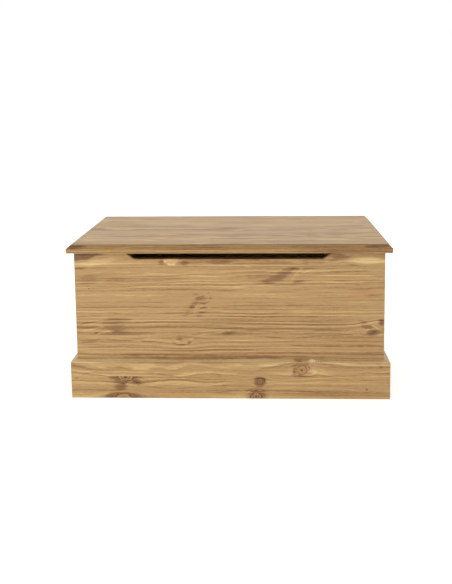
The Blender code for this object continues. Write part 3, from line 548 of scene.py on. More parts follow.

# The figure of the front panel, in millimetres along X and up Z: stave by stave from the top, then
# its broad shades, with painted shade and painted light among them, and then its traced lines
FRONT_MARKS = [
    mark(-375, 374.5, 70, 12.5, -0.95, turn=13, edge=0.60),
    mark(-335, 359, 75, 10, 0.50, turn=10, edge=0.50),
    mark(-210, 357, 50, 9, -0.10, warm=0.8, edge=0.0),
    mark(-257, 362, 12, 6, 0.10, warm=-1.0, edge=0.1),
    mark(-173, 356.5, 11, 9, -0.60, warm=1.0, edge=0.2),
    mark(-146, 366.5, 21, 18.5, 0.62, edge=0.70),
    mark(-113, 355, 17, 8, -0.55, warm=0.9, edge=0.2),
    mark(-30, 359, 58, 6, -0.40, warm=0.5, edge=0.2),
    mark(-20, 350.5, 75, 2.2, 0.45, turn=-1),
    mark(47, 348, 14, 2.6, 0.70, warm=0.7, turn=-14),
    mark(40, 360, 13, 6, -0.05, warm=-0.9, edge=0.1),
    mark(287, 370, 56, 15, -0.62, turn=-12, edge=0.0),
    mark(350, 362.5, 64, 10.5, 0.80, edge=0.4),
    mark(318, 350.5, 26, 2.2, -0.60, turn=-8),
    mark(-362, 317, 36, 14, -0.30, edge=0.1),
    mark(-290, 315, 50, 14, -0.22, edge=0.0),
    mark(-385, 342, 20, 3, -0.70, warm=0.5),
    mark(-365, 302.2, 32, 1.6, -0.90),
    mark(130, 320, 58, 16, -0.62, turn=25, edge=0.15),
    mark(90, 307, 24, 6.2, -0.42, turn=4, edge=0.0),
    mark(168, 340.5, 19, 5, -0.50, turn=2, edge=0.1),
    mark(148, 336, 30, 10, -0.22, turn=24, edge=0.4),
    mark(92, 303.5, 36, 4.2, -0.20, turn=3, edge=0.2),
    mark(173, 327, 26, 3.4, 0.50, turn=45, edge=0.1),
    mark(179, 306.5, 19, 5.8, -0.65, turn=6, edge=0.3),
    mark(300, 322.5, 110, 1.8, 0.55),
    mark(300, 334.5, 100, 4.8, -0.35, turn=1),
    mark(290, 306, 110, 2, 0.50),
    mark(300, 314.5, 100, 4, -0.32),
    mark(-363, 288.5, 4, 1.6, -1.3),
    mark(-52, 277, 5.5, 4.2, -0.60, edge=0.0),
    mark(-47.5, 263, 5.5, 5.2, -0.50, edge=0.0),
    mark(-83.5, 273.5, 11, 4.5, -0.40, edge=0.0),
    mark(345, 278, 65, 18, -0.14, warm=0.6, edge=0.0),
    mark(372, 272, 36, 4, -0.40, warm=0.6, edge=0.1),
    mark(-74.5, 261, 26, 9.5, -0.58, turn=14, edge=0.0),
    mark(-85, 250, 23, 8.5, -0.62, turn=14, edge=0.0),
    mark(-96.5, 238.7, 12, 6.6, -0.90, edge=0.0),
    mark(-63, 248.8, 9.5, 3, -0.75, turn=8, edge=0.1),
    mark(-64.8, 237.6, 15.5, 4.2, -0.85, turn=6, edge=0.1),
    mark(-70.4, 226.3, 14.5, 3.4, -0.80, edge=0.1),
    mark(-76.3, 217, 14, 2.2, -0.70, edge=0.1),
    mark(-107, 227.5, 11, 5, -0.50, edge=0.0),
    mark(-111, 218.5, 16, 3, -0.55, turn=8),
    mark(-84, 240, 20, 3.5, 0.35, turn=60, edge=0.1),
    mark(162, 213.7, 140, 4.5, -0.36, warm=0.9),
    mark(-296, 187.2, 52, 42, -0.38, edge=0.0),
    mark(-302, 196, 38, 8, -0.16, turn=-8, edge=0.0),
    mark(-290, 174.5, 20, 7.5, -0.25, edge=0.0),
    mark(-288, 206, 44, 4.2, -0.60, edge=0.3),
    mark(-362, 193.5, 36, 2, 0.60, turn=8),
    mark(-360, 198.5, 40, 1.8, -0.75, turn=9),
    mark(-362, 180, 34, 2.2, 0.60, turn=8),
    mark(-362, 184.8, 36, 1.8, -0.65, turn=8),
    mark(-347, 169.5, 11, 3.6, -0.70, turn=20, edge=0.1),
    mark(-316, 174.5, 20, 2.2, 0.60, turn=5),
    mark(-1, 170.5, 28, 6.2, -0.65, edge=0.1),
    mark(-50, 177, 70, 2, 0.50, turn=6),
    mark(-10, 183, 60, 2, -0.50, turn=3),
    mark(58.8, 176.1, 36, 1.5, -0.60),
    mark(370, 173.7, 21, 9.8, -0.88, turn=10, edge=0.1),
    mark(356, 187.5, 24, 7.5, -0.75, turn=-4, edge=0.2),
    mark(346, 198.5, 16, 2.2, -0.70, turn=-10),
    mark(344, 203.5, 14, 1.8, -0.60, turn=-8),
    mark(342, 194.2, 13, 1.8, -0.60, turn=-6),
    mark(391.5, 200.5, 14, 10, -1.2, warm=0.4, edge=0.1),
    mark(376, 187, 22, 2.6, 0.55, turn=-32, edge=0.2),
    mark(356, 180.5, 28, 2.2, 0.60, turn=10),
    mark(310, 173.5, 45, 2, 0.50),
    mark(-128.8, 154.5, 19, 8.5, -0.32, edge=0.0),
    mark(-126.4, 138.5, 15, 1.8, -0.85),
    mark(-105, 147.5, 8, 8, -0.45, edge=0.1),
    mark(-368, 146.2, 32, 3.6, -0.50),
    mark(-240, 112, 55, 4, -0.55, warm=1.3, edge=0.1),
    # Painted shade in the crease where the front panel meets the plinth
    mark(0, 106, 420, 6, -0.50, warm=0.5, edge=0.0),
    mark(0, 104, 420, 2.4, -0.25, edge=0.2),
    # Broad painted light and shade: lighter at the top and top left, darker in the middle and at the
    # lower right, as the light falls from the left
    mark(0, 322.8, 560, 60, 0.13, edge=0.5),
    mark(0, 232.4, 180, 60, -0.15, edge=0.4),
    mark(-35, 322.8, 120, 60, 0.12, edge=0.4),
    mark(330, 142, 160, 50, -0.14, edge=0.3),
    # Painted shade on the hand slot's lower face, which lies in shadow under the lid
    mark(0, 366.4, 262, 0.7, -0.80, edge=0.85),
    mark(0, 358.5, 250, 9, -0.34, edge=0.4),
    mark(90, 358.5, 240, 8.5, -0.32, edge=0.3),
    mark(225, 362, 90, 8, -0.38, edge=0.2),
    mark(100, 340, 260, 6.2, -0.24, edge=0.3),
    mark(232, 340.8, 80, 5, -0.28, edge=0.2),
    mark(-40, 319, 130, 8, 0.26, edge=0.2),
    mark(60, 289.3, 260, 6.2, 0.34, edge=0.3),
    mark(240, 272.5, 100, 6, -0.20, edge=0.2),
    mark(235, 242.5, 90, 4.6, 0.36, edge=0.2),
    mark(80, 188, 300, 60, -0.10, edge=0.4),
    mark(10, 177.5, 150, 4.5, -0.34, edge=0.2),
    mark(250, 177.5, 100, 4, -0.50, edge=0.2),
    mark(260, 192.5, 90, 5.5, -0.30, edge=0.2),
    mark(-20, 167, 150, 6, -0.28, edge=0.2),
    mark(-270, 170, 90, 8.5, -0.34, edge=0.1),
    mark(80, 147, 300, 4.6, -0.22, edge=0.2),
    mark(0, 123.5, 420, 4.2, -0.36, edge=0.2),
    mark(0, 114, 420, 5.5, -0.26, warm=0.4, edge=0.3),
]
FRONT_MARKS += traced([
    ([(-166, 364), (-160, 355.5), (-148, 351.6), (-136, 354.5)], 3.2, 1.2),
    ([(157.6, 306), (168.3, 317.9), (185.3, 328.9), (215, 338.4), (265.9, 344)], FINE, 0.55),
    ([(198.1, 320.1), (291.4, 323.7), (392.9, 322.4)], FINE, LIGHT),
    ([(193.8, 308.8), (291.5, 312.3), (393, 313.3)], FINER, LIGHT),
    ([(-7.8, 288.4), (57.1, 294.6), (121.3, 299.1)], FINE, LIGHT),
    ([(-7.8, 248), (78.2, 248.9), (164, 250.8), (249.4, 253.6)], FINER, LIGHT),
    ([(-7.9, 238.5), (86.8, 236.5), (172.5, 238.9)], FINER, LIGHT),
    ([(43.7, 224), (133.9, 226.9), (232.4, 225.8), (334.7, 228.3)], FINE, LIGHT),
    ([(-8.5, 189.7), (99.4, 186.9), (206.8, 189), (326.5, 192.1)], FINE, LIGHT),
    ([(30.3, 176.4), (120.9, 170.1), (206.9, 173.9), (292.5, 175.1), (348, 180.6)], FINE, 0.6),
    ([(-8.9, 151.7), (77.7, 148.5), (172.5, 151.6), (292.7, 147.6)], FINE, LIGHT),
    ([(-8.3, 200.8), (78, 203.3), (163.9, 201.3), (249.6, 200.7)], FINER, DARK),
    ([(69.1, 161), (163.9, 156.9), (249.8, 165), (343.8, 168.7)], FINE, DARK),
    ([(155.3, 139), (232.7, 134), (292.8, 138.7), (391.1, 139.1)], FINE, DARK),
    ([(-345.5, 192.2), (-326, 186.4)], FINE, 0.7),
    ([(-390.1, 173.6), (-367.9, 178.2), (-345.9, 181)], FINER, 0.6),
    ([(-348, 165.5), (-333, 171.5), (-320, 173.5), (-306, 171.8)], FINE, 0.65),
    ([(-398.8, 301.3), (-333.3, 304.4), (-263.8, 301)], FINER, DARK),
    ([(-363, 328.7), (-319.3, 334), (-232.7, 331), (-103.3, 323.5), (4.1, 317.9)], FINE, 0.6),
    ([(-395.6, 268.9), (-321.1, 274.8), (-234.2, 269.1), (-164.8, 270.6)], FINER, LIGHT),
    ([(-384, 223), (-309.5, 225.8), (-226.6, 224.2), (-148.3, 226.2)], FINE, LIGHT),
    ([(-396.6, 237.7), (-304.7, 240.1), (-217.6, 237.6), (-148, 239.6)], FINER, DARK),
    ([(-154.2, 145.7), (-132.5, 139.5), (-110.7, 139.6), (-97.6, 146.9)], FINE, -0.75),
    ([(-397.5, 150), (-324.9, 150.8), (-237.3, 148.7), (-167.4, 147.1)], FINE, -0.8),
    ([(-397.4, 156), (-324.7, 156.7), (-246, 154), (-167.3, 152)], FINE, 0.7),
    ([(-390, 139.2), (-310, 139.8), (-220, 138.5), (-170, 137.8)], FINER, -0.6),
    ([(-390, 131.2), (-290, 131.8), (-190, 130.2)], FINER, -0.6),
    ([(-149.8, 151.2), (-123.7, 145.4), (-106.2, 149.1), (-90.8, 159.5)], FINE, 0.8),
    ([(-228.3, 155.3), (-167, 160.1), (-132.1, 163.8)], FINER, LIGHT),
    ([(-88.6, 163.9), (-40.7, 169.5), (-6, 177.6), (4.8, 175.9)], FINE, 0.8),
    ([(-382.6, 134.4), (-281.4, 136.2), (-185.1, 130.8), (-80.4, 133.5)], FINE, LIGHT),
    ([(-89.2, 262.7), (-74, 267.2), (-61, 270.7)], FINE, -0.7),
    ([(-74.3, 248.6), (-61.3, 251.7), (-48.2, 254.1)], FINE, -0.6),
    ([(-94.2, 220.6), (-85.3, 231.7), (-74.4, 240.6), (-65.7, 245.9)], FINE, 0.5),
    ([(-78.9, 229.5), (-61.5, 235.3), (-44.2, 238.4)], FINER, 0.7),
    ([(-387, 257.5), (-270, 258.8), (-150, 257.8)], FINER, LIGHT),
    ([(-386, 252), (-280, 253.2), (-145, 251.5)], FINER, DARK),
    ([(-383, 289), (-290, 290.5), (-200, 288.5)], FINER, DARK),
    ([(-387, 216.5), (-290, 217.8), (-190, 215.5)], FINER, DARK),
    ([(-385, 211.5), (-260, 213), (-150, 211.2)], FINER, LIGHT),
    ([(60, 279), (180, 280.5), (320, 278.5)], FINER, DARK),
    ([(40, 273.5), (170, 274.5), (390, 272.5)], FINER, LIGHT),
    ([(20, 265), (150, 264), (300, 265.5)], FINER, DARK),
    ([(-30, 244), (130, 244.8), (300, 243.6)], FINER, DARK),
    ([(-30, 233.6), (150, 233), (330, 234)], FINER, DARK),
    ([(-25, 230.2), (150, 230.8), (330, 229.8)], FINER, LIGHT),
    ([(-50, 218.8), (130, 218), (330, 219)], FINER, LIGHT),
    ([(-50, 215), (130, 215.6), (330, 214.6)], FINER, DARK),
])
FRONT_KNOTS = [
    knot(372, 180, 24, 16, 0.0, turn=20, solid=0.0),
    knot(-128, 153, 22, 11, 0.0, solid=0.0),
]

# The figure of the front plinth rail
PLINTH_MARKS = [
    mark(-284, 31, 26, 16.5, -0.85, warm=-0.4, edge=0.1),
    mark(-258, 40, 13, 9.5, 0.55, turn=-30, edge=0.2),
    mark(-241.7, 44, 21, 2.8, -0.75, warm=0.4, turn=-25),
    mark(-200, 70, 200, 2.4, 0.55, turn=-1),
    mark(167, 73.5, 6.5, 12.5, -0.85, edge=0.2),
    mark(205.5, 83.5, 4.5, 3, -0.80, warm=0.4, turn=-40),
    mark(215, 73.5, 14, 6, 0.60, edge=0.2),
    mark(212, 70, 8, 3, -0.40, turn=30),
    mark(212.9, 100, 10, 3, 0.80, edge=0.5),
    mark(180, 99.5, 14, 2.5, -0.50, warm=0.4),
    mark(90.5, 49, 3.6, 7, -0.80, warm=0.6, turn=15),
    mark(70, 21, 32, 11, -0.85, edge=0.2),
    mark(78, 10, 30, 8, -0.45, edge=0.1),
    mark(353, 26, 4.5, 3.5, -0.95, edge=0.2),
    mark(389, 86.9, 7, 6, -0.35),
    mark(-399, 53.5, 8, 4, -0.55, warm=0.5),
    mark(-190, 20, 90, 4, 0.10, warm=-1.0),
    mark(-150, 9, 120, 4, -0.10, warm=1.1),
    mark(-170, 64, 60, 6, -0.35, edge=0.1),
]
PLINTH_MARKS += traced([
    ([(-407.4, 70.8), (-345.9, 72), (-280.3, 68.3), (-201.7, 71.9), (-166.9, 67.6)], FINE, LIGHT),
    ([(-245.7, 55), (-215.4, 46.2), (-167.6, 37.4), (-63.2, 35), (1.9, 40.8)], FINE, 0.6),
    ([(-408.2, 46.3), (-360, 43), (-307.4, 38.8)], FINE, LIGHT),
    ([(-171.3, 65.8), (-106.3, 60)], FINE, LIGHT),
    ([(-224.4, 32.5), (-150.4, 25.3), (-63.2, 32.3), (1.8, 36.3)], FINE, DARK),
    ([(-291.6, 54.7), (-276.6, 43.5), (-259.4, 33.7)], FINE, 0.9),
    ([(-272.5, 34.5), (-259.1, 43.6), (-248, 50.5)], FINE, 0.8),
    ([(-256.7, 52.7), (-246, 42.8), (-233.1, 33.8)], FINE, -0.9),
    ([(-8.8, 90.1), (77.4, 88.3), (154.7, 91.9)], FINE, LIGHT),
    ([(231.7, 91.4), (291.5, 89.5), (402, 92.3)], FINE, LIGHT),
    ([(227.5, 69.1), (270.3, 62)], FINE, 0.6),
    ([(270.3, 58), (334.4, 56.3), (402.5, 58)], FINE, LIGHT),
    ([(-9.3, 49.7), (34, 47.7), (68.5, 52.4)], FINER, LIGHT),
    ([(94.4, 45.9), (163.2, 48.6), (249, 42.4), (402.7, 43.4)], FINE, LIGHT),
    ([(214.7, 53.4), (291.8, 48), (377, 51.3)], FINE, DARK),
    ([(-9.5, 31.7), (16.5, 28.3), (42.4, 18.5)], FINER, LIGHT),
    ([(44.5, 15), (54, 22.5), (70, 25), (86, 21.5)], FINE, 0.9),
    ([(98.6, 27.9), (184.7, 30.8), (291.9, 28.3), (347.5, 20.7)], FINE, LIGHT),
])
PLINTH_KNOTS = [
    knot(-271, 57, 25, 12.5, 1.25, turn=-8),
    knot(-277, -4, 30, 19.5, 1.0),
    knot(186.2, 77.8, 15.5, 13.5, 0.85),
    knot(78.8, 46.5, 9.5, 8, 1.55),
    knot(69, 6, 17, 11.5, 1.25, turn=8),
]

# The figure of the lid board, along X and back along Y
LID_MARKS = [
    mark(-190, -24, 110, 1.4, -0.40),
    mark(-51, 99.6, 17, 3, -0.50),
    mark(145, -95, 60, 11, -0.45, turn=-10, edge=0.1),
    mark(174, -106, 24, 6, -0.50, turn=-6),
    mark(293, 35.6, 48, 4, -0.35),
    mark(120, -3, 520, 70, -0.14, edge=0.3),
    mark(80, -18, 520, 6.5, -0.28, edge=0.3),
    mark(-40, -50, 500, 13, 0.24, edge=0.3),
    mark(140, -95, 520, 17, -0.20, edge=0.2),
    mark(140, -127, 520, 13, -0.20, edge=0.2),
    mark(-60, 68, 460, 10, 0.22, edge=0.3),
]
# The chamfer along its front edge
LID_MARKS += [
    mark(-394, -205.5, 36, 5.8, -1.0, turn=4, edge=0.4),
    mark(-180, -205.2, 14, 1.2, -0.9),
    mark(-40, -207, 70, 1.3, -0.8),
    mark(150, -205.5, 90, 1.2, -0.5),
    mark(250, -203.5, 80, 1, 0.6),
    mark(360, -206, 22, 4, -0.6),
    mark(330, -210.9, 180, 1.2, -0.55, edge=0.3),
    mark(-230, -210.9, 230, 1.2, -0.09, edge=0.3),
    mark(240, -205.2, 160, 5.6, -0.40, edge=0.1),
    mark(380, -205.5, 50, 6, -0.55, edge=0.2),
]
LID_MARKS += traced([
    ([(-300, -210), (-235, -205.5), (-120, -203)], 1.0, 1.1),
    ([(-60, -204), (80, -204.8), (170, -208)], 0.9, 0.8),
])
LID_KNOTS = [knot(-238.4, 34.4, 6.5, 4.8, 0.6)]


# Tints of waxed boards and of the lid, and of moulded edges: a darker stain with painted shade on the
# lid's chamfer and edges, and painted light on the plinth's bevels
WAX_TINT = (0.72, 0.70, 0.60, 1.0)
LID_TINT = (0.75, 0.705, 0.485, 1.0)
STAIN_AND_PAINTED_SHADE_TINT = (0.66, 0.61, 0.57, 1.0)
PAINTED_LIGHT_TINT = (1.35, 1.56, 2.10, 1.0)

RUFFLE_SCALE = (34.0, 120.0, 120.0)
GRAIN_RELIEF = 0.12 * MM
GRAIN_RELIEF_SHARE = 0.35
WEAR_SHARE = 0.22
WORN_COLOUR = srgb(214, 182, 132)

# Moulded edges: how sharply their painted tint ends, and the fine ticks that the cutter left
PAINTED_TINT_EDGE = (-0.7 * MM, -0.2 * MM)
CUTTER_PITCH = 6 * MM
CUTTER_WEAR_SCALE = (14.0, 60.0, 60.0)
CUTTER_WEAR = (0.38, 0.62)
TICK_EDGE = (0.1, 0.9)
TICK_SHARE = 0.20
TICK_COLOUR = srgb(96, 64, 36)

# Inner faces that were never waxed: how sharply they end, and how much paler and duller they are
BARE_EDGE = (-0.2 * MM, 0.2 * MM)
BARE_SHARE = 0.45
BARE_COLOUR = srgb(226, 202, 160)
BARE_ROUGHNESS = 0.22


def draw_marks(tree, place, ruffle, marks, staves):
    """How much lighter and how much redder the marks make a board from place to place."""
    flat = vector_calc(tree, "MULTIPLY", place, (1.0, 1.0, 0.0))
    tone_field, warm_field = flat, flat
    for values, tone, warm in marks:
        spot = {"Ruffle": ruffle, **values, **stave_of(values, staves)}
        tone_field = use(tree, FIGURE_AND_PAINT_MARK, Field=tone_field, Lightness=tone, **spot)["Field"]
        if warm:
            warm_field = use(tree, FIGURE_AND_PAINT_MARK, Field=warm_field, Lightness=warm, **spot)["Field"]
    return part_of(tree, tone_field, "Z"), part_of(tree, warm_field, "Z")


def place_knots(tree, place, ruffle, knots, staves):
    """The grain as the knots bend it, and the knots' own core, shade and halo."""
    grain, core, shade, halo = place, 0.0, 0.0, 0.0
    for values in knots:
        grain, core, shade, halo = use(
            tree, PINE_KNOT, Place=place, Ruffle=ruffle, Grain=grain, Core=core, Shade=shade,
            Halo=halo, **values, **stave_of(values, staves),
        )
    return grain, core, shade, halo


def paint_routed_light_and_shade(tree, world, place, colour, routed, tint):
    """Lays the routed tint on the moulded edges, as a darker stain with painted shade on the lid and as
    painted light on the plinth, and adds the ticks that the cutter left.
    """
    painted_edge_share = 0.0
    for point, direction, share in routed:
        away = vector_calc(tree, "SUBTRACT", world, point)
        depth = vector_calc(tree, "DOT_PRODUCT", away, direction, result="Value")
        plane = calc(tree, "MULTIPLY", fade(tree, depth, *PAINTED_TINT_EDGE), share)
        painted_edge_share = calc(tree, "MAXIMUM", painted_edge_share, plane)
    colour = mix(tree, painted_edge_share, colour, mix(tree, 1.0, colour, tint, blend="MULTIPLY"))
    beat = calc(tree, "MULTIPLY", part_of(tree, place, "X"), math.tau / CUTTER_PITCH)
    beat = fade(tree, calc(tree, "SINE", beat), *TICK_EDGE)
    worn_beat = fade(tree, noise(tree, place, CUTTER_WEAR_SCALE), *CUTTER_WEAR)
    tick = calc(tree, "MULTIPLY", calc(tree, "MULTIPLY", beat, worn_beat), painted_edge_share)
    return mix(tree, calc(tree, "MULTIPLY", tick, TICK_SHARE), colour, TICK_COLOUR)


def leave_bare(tree, sides, colour, rough, bare):
    """The colour and roughness of a board whose inner face was never waxed."""
    axis, limit, side = bare
    inner = calc(tree, "MULTIPLY", calc(tree, "SUBTRACT", sides[axis], limit), side)
    inner = fade(tree, inner, *BARE_EDGE)
    colour = mix(tree, inner, colour, mix(tree, BARE_SHARE, colour, BARE_COLOUR))
    return colour, calc(tree, "MULTIPLY_ADD", inner, BARE_ROUGHNESS, rough, clamp=True)


def pine(name, node, axes, staves, seed, marks=(), knots=(), tint=WAX_TINT, waver=0.7,
         spacing=RING_SPACING, contrast=1.0, dullness=WAX_DULLNESS, bare=None,
         routed=(), painted_routed_tint=STAIN_AND_PAINTED_SHADE_TINT):
    """A pine material for one board. Axes are those along its grain, across its staves and through it.

    Staves are their width and the place of one glue line. Bare is the inner face that was never
    waxed, as its axis, its place, and the side of that place where the bare wood lies. Routed are
    the planes of moulded edges, each a point, an outward direction and a share, and the routed tint
    is laid there as painted shade on the lid and as painted light on the plinth.
    """
    material = bpy.data.materials.new(name)
    material.use_nodes = True
    tree = material.node_tree
    shader = tree.nodes["Principled BSDF"]
    world = add(tree, "TexCoord").outputs["Object"]
    sides = dict(zip("XYZ", split(tree, world)))
    place = join(tree, *(sides[axis] for axis in axes))
    ruffle = calc(tree, "SUBTRACT", noise(tree, place, RUFFLE_SCALE), 0.5)
    tone, warmth = draw_marks(tree, place, ruffle, marks, staves)
    grain, core, shade, halo = place_knots(tree, place, ruffle, knots, staves)
    wood = use(
        tree, GROWTH_RINGS, Place=place, Grain=grain, Seed=seed, Ring_Spacing=spacing, Waver=waver,
        Stave_Width=staves[0], Stave_Start=staves[1],
    )
    figure = {label: wood[label] for label in ("Ring", "Fibre", "Glue")}
    colour = use(
        tree, WOOD_COLOUR, Streak=wood["Streak"], Blotch=wood["Blotch"], Stave=wood["Stave"],
        Tone=tone, Warmth=warmth, Core=core, Shade=shade, Halo=halo, Contrast=contrast, Tint=tint,
        **figure,
    )["Color"]
    low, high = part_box(node)
    wear = use(
        tree, WORN_EDGE, Place=world, Low=tuple(low), High=tuple(high), Reach=WEAR_REACH
    )["Wear"]
    colour = mix(tree, calc(tree, "MULTIPLY", wear, WEAR_SHARE), colour, WORN_COLOUR)
    finish = use(
        tree, WAX_FILM, Place=place, Core=core, Shade=shade, Wear=wear, Dullness=dullness, **figure
    )
    rough = finish["Roughness"]
    if routed:
        colour = paint_routed_light_and_shade(tree, world, place, colour, routed, painted_routed_tint)
    if bare:
        colour, rough = leave_bare(tree, sides, colour, rough, bare)
    bump = add(
        tree, "Bump", Height=finish["Height"], Strength=GRAIN_RELIEF_SHARE, Distance=GRAIN_RELIEF
    ).outputs["Normal"]
    tree.links.new(colour, shader.inputs["Base Color"])
    tree.links.new(rough, shader.inputs["Roughness"])
    tree.links.new(bump, shader.inputs["Normal"])
    return material


def finish_node(node, material):
    """Gives a CAD node its finish."""
    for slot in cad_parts[node].material_slots:
        slot.link = "OBJECT"
        slot.material = material


# The moulded edges, as cut on the lid's front and ends and on the top of the plinth rails, and how
# much of the lid's tint, a darker stain with painted shade, its upright faces take
LID_CHAMFER_RUN = 11 * MM
LID_CHAMFER_DROP = 9.8 * MM
LID_FRONT_STAIN_AND_PAINTED_SHADE = 0.42
LID_END_STAIN_AND_PAINTED_SHADE = 0.80
PLINTH_BEVEL_RUN = 12 * MM
PLINTH_BEVEL_DROP = 5 * MM

# How far into a board the bare wood of its inner face reaches
BARE_DEPTH = 0.5 * MM
LID_BARE_DEPTH = 0.3 * MM


def lid_edges():
    """The sloping and the upright faces round the lid, which get a darker stain with painted shade."""
    low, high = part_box("lid_panel")
    slope = Vector((LID_CHAMFER_DROP, LID_CHAMFER_RUN)).normalized()
    return [
        ((0.0, low.y + LID_CHAMFER_RUN, high.z), (0.0, -slope.x, slope.y), 1.0),
        ((low.x + LID_CHAMFER_RUN, 0.0, high.z), (-slope.x, 0.0, slope.y), 1.0),
        ((high.x - LID_CHAMFER_RUN, 0.0, high.z), (slope.x, 0.0, slope.y), 1.0),
        ((0.0, low.y, 0.0), (0.0, -1.0, 0.0), LID_FRONT_STAIN_AND_PAINTED_SHADE),
        ((low.x, 0.0, 0.0), (-1.0, 0.0, 0.0), LID_END_STAIN_AND_PAINTED_SHADE),
        ((high.x, 0.0, 0.0), (1.0, 0.0, 0.0), LID_END_STAIN_AND_PAINTED_SHADE),
    ]


def plinth_bevel(node, outward):
    """The sloping top face of a plinth rail whose outer face looks along outward."""
    low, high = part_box(node)
    corner = Vector([low[axis] if outward[axis] < 0 else high[axis] for axis in range(3)])
    corner.z = high.z - PLINTH_BEVEL_DROP
    slope = Vector(outward) * PLINTH_BEVEL_DROP + Vector((0.0, 0.0, PLINTH_BEVEL_RUN))
    return [(tuple(corner), tuple(slope.normalized()), 1.0)]


def finish_boards():
    finish_node("front_panel", pine(
        "waxed_pine_front", "front_panel", "XZY", BOARD_STAVES, seed=3.0, marks=FRONT_MARKS,
        knots=FRONT_KNOTS, waver=0.42, spacing=5.2 * MM, contrast=0.9,
        bare=("Y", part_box("front_panel")[1].y - BARE_DEPTH, 1.0),
    ))
    finish_node("plinth_front", pine(
        "waxed_pine_plinth_front", "plinth_front", "XZY", PLINTH_STAVES, seed=11.0,
        marks=PLINTH_MARKS, knots=PLINTH_KNOTS, waver=0.8, spacing=5.6 * MM,
        # The bevel gets painted light, a lighter and cooler tint
        routed=plinth_bevel("plinth_front", (0.0, -1.0, 0.0)), painted_routed_tint=PAINTED_LIGHT_TINT,
    ))
    finish_node("lid_panel", pine(
        "waxed_pine_lid", "lid_panel", "XYZ", LID_STAVES, seed=5.0, marks=LID_MARKS,
        knots=LID_KNOTS, tint=LID_TINT, waver=1.1, spacing=5.2 * MM, contrast=1.05, dullness=0.40,
        # The chamfer and the edges get a darker stain with painted shade
        routed=lid_edges(), bare=("Z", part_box("lid_panel")[0].z + LID_BARE_DEPTH, -1.0),
    ))
    finish_node("back_panel", pine(
        "waxed_pine_back", "back_panel", "XZY", BOARD_STAVES, seed=17.0,
        knots=[knot(-210, 282, 12, 10, 0.9), knot(160, 195, 17, 12, 0.8)],
        bare=("Y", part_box("back_panel")[0].y + BARE_DEPTH, -1.0),
    ))
    for side, sign, seed in (("left", -1.0, 23.0), ("right", 1.0, 29.0)):
        panel, rail = "end_panel_" + side, "plinth_" + side
        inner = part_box(panel)[1].x if sign < 0 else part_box(panel)[0].x
        finish_node(panel, pine(
            "waxed_pine_end_" + side, panel, "YZX", BOARD_STAVES, seed=seed,
            knots=[knot(60 * sign, 236, 14, 10, 0.9)],
            bare=("X", inner + BARE_DEPTH * sign, -sign),
        ))
        finish_node(rail, pine(
            "waxed_pine_plinth_" + side, rail, "YZX", PLINTH_STAVES, seed=seed + 2.0,
            knots=[knot(-90 * sign, 36, 10, 9, 1.0)], waver=0.8, spacing=5.6 * MM,
            # The bevel gets painted light, a lighter and cooler tint
            routed=plinth_bevel(rail, (sign, 0.0, 0.0)), painted_routed_tint=PAINTED_LIGHT_TINT,
        ))


# Inner boards are single pieces, so their one stave is wider than they are
BARE_PINE_TINT = (1.10, 1.14, 1.22, 1.0)
BARE_PINE_STAVE = (1.0, -0.5)
FIRST_INNER_SEED = 40.0
INNER_BOARDS = {
    "ZXY": (
        "corner_post_front_left", "corner_post_front_right", "corner_post_back_left",
        "corner_post_back_right",
    ),
    "XZY": ("base_batten_front", "base_batten_back"),
    "YXZ": (
        "base_batten_left", "base_batten_right", "base_cross_rail", "lid_batten_left",
        "lid_batten_right",
    ),
}

# Plywood: its plies, how much darker each second one is, and the glue between them. The bands are in
# shares of a ply and, for the board's two faces, of its thickness. Almost all of that thickness is
# counted in plies, so that the top face is still in the last one
PLYWOOD_TINT = (1.16, 1.18, 1.24, 1.0)
PLYWOOD_STAVE = (2.0, -1.0)
PLY_COUNT = 5
ALMOST_ALL = 0.999
CROSS_PLY_TINT = (0.72, 0.66, 0.58, 1.0)
CROSS_PLY_SHARE = 0.8
PLY_GLUE_BAND = (0.43, 0.47)
PLY_FACE_BAND = (0.48, 0.44)
PLY_GLUE_SHARE = 0.7
PLY_GLUE_COLOUR = srgb(92, 62, 36)


def show_plies(material, node):
    """Shows the plies on the edges of a plywood board: each second one darker, with glue between."""
    tree = material.node_tree
    low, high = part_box(node)
    thickness = high.z - low.z
    face = tree.nodes["Principled BSDF"].inputs["Base Color"]
    colour = face.links[0].from_socket
    world = add(tree, "TexCoord").outputs["Object"]
    depth = calc(tree, "SUBTRACT", part_of(tree, world, "Z"), low.z)
    ply = calc(tree, "MULTIPLY", depth, ALMOST_ALL * PLY_COUNT / thickness)
    cross = calc(tree, "MODULO", calc(tree, "FLOOR", ply), 2.0)
    cross = calc(tree, "MULTIPLY", cross, CROSS_PLY_SHARE)
    colour = mix(tree, cross, colour, CROSS_PLY_TINT, blend="MULTIPLY")
    joint = calc(tree, "ABSOLUTE", calc(tree, "SUBTRACT", calc(tree, "FRACT", ply), 0.5))
    inside = calc(tree, "ABSOLUTE", calc(tree, "SUBTRACT", depth, thickness / 2))
    inside = fade(tree, inside, *(thickness * share for share in PLY_FACE_BAND))
    glue = calc(tree, "MULTIPLY", fade(tree, joint, *PLY_GLUE_BAND), inside)
    colour = mix(tree, calc(tree, "MULTIPLY", glue, PLY_GLUE_SHARE), colour, PLY_GLUE_COLOUR)
    tree.links.new(colour, face)


def finish_inner_wood():
    axes_of = {node: axes for axes, nodes in INNER_BOARDS.items() for node in nodes}
    for index, node in enumerate(sorted(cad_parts)):
        if node in axes_of:
            finish_node(node, pine(
                "bare_pine_" + node, node, axes_of[node], BARE_PINE_STAVE,
                seed=FIRST_INNER_SEED + index, tint=BARE_PINE_TINT, dullness=0.58,
            ))
    plywood = pine(
        "base_plywood", "base_panel", "XYZ", PLYWOOD_STAVE, seed=71.0, tint=PLYWOOD_TINT, waver=2.4,
        spacing=3 * MM, dullness=0.60,
    )
    show_plies(plywood, "base_panel")
    finish_node("base_panel", plywood)


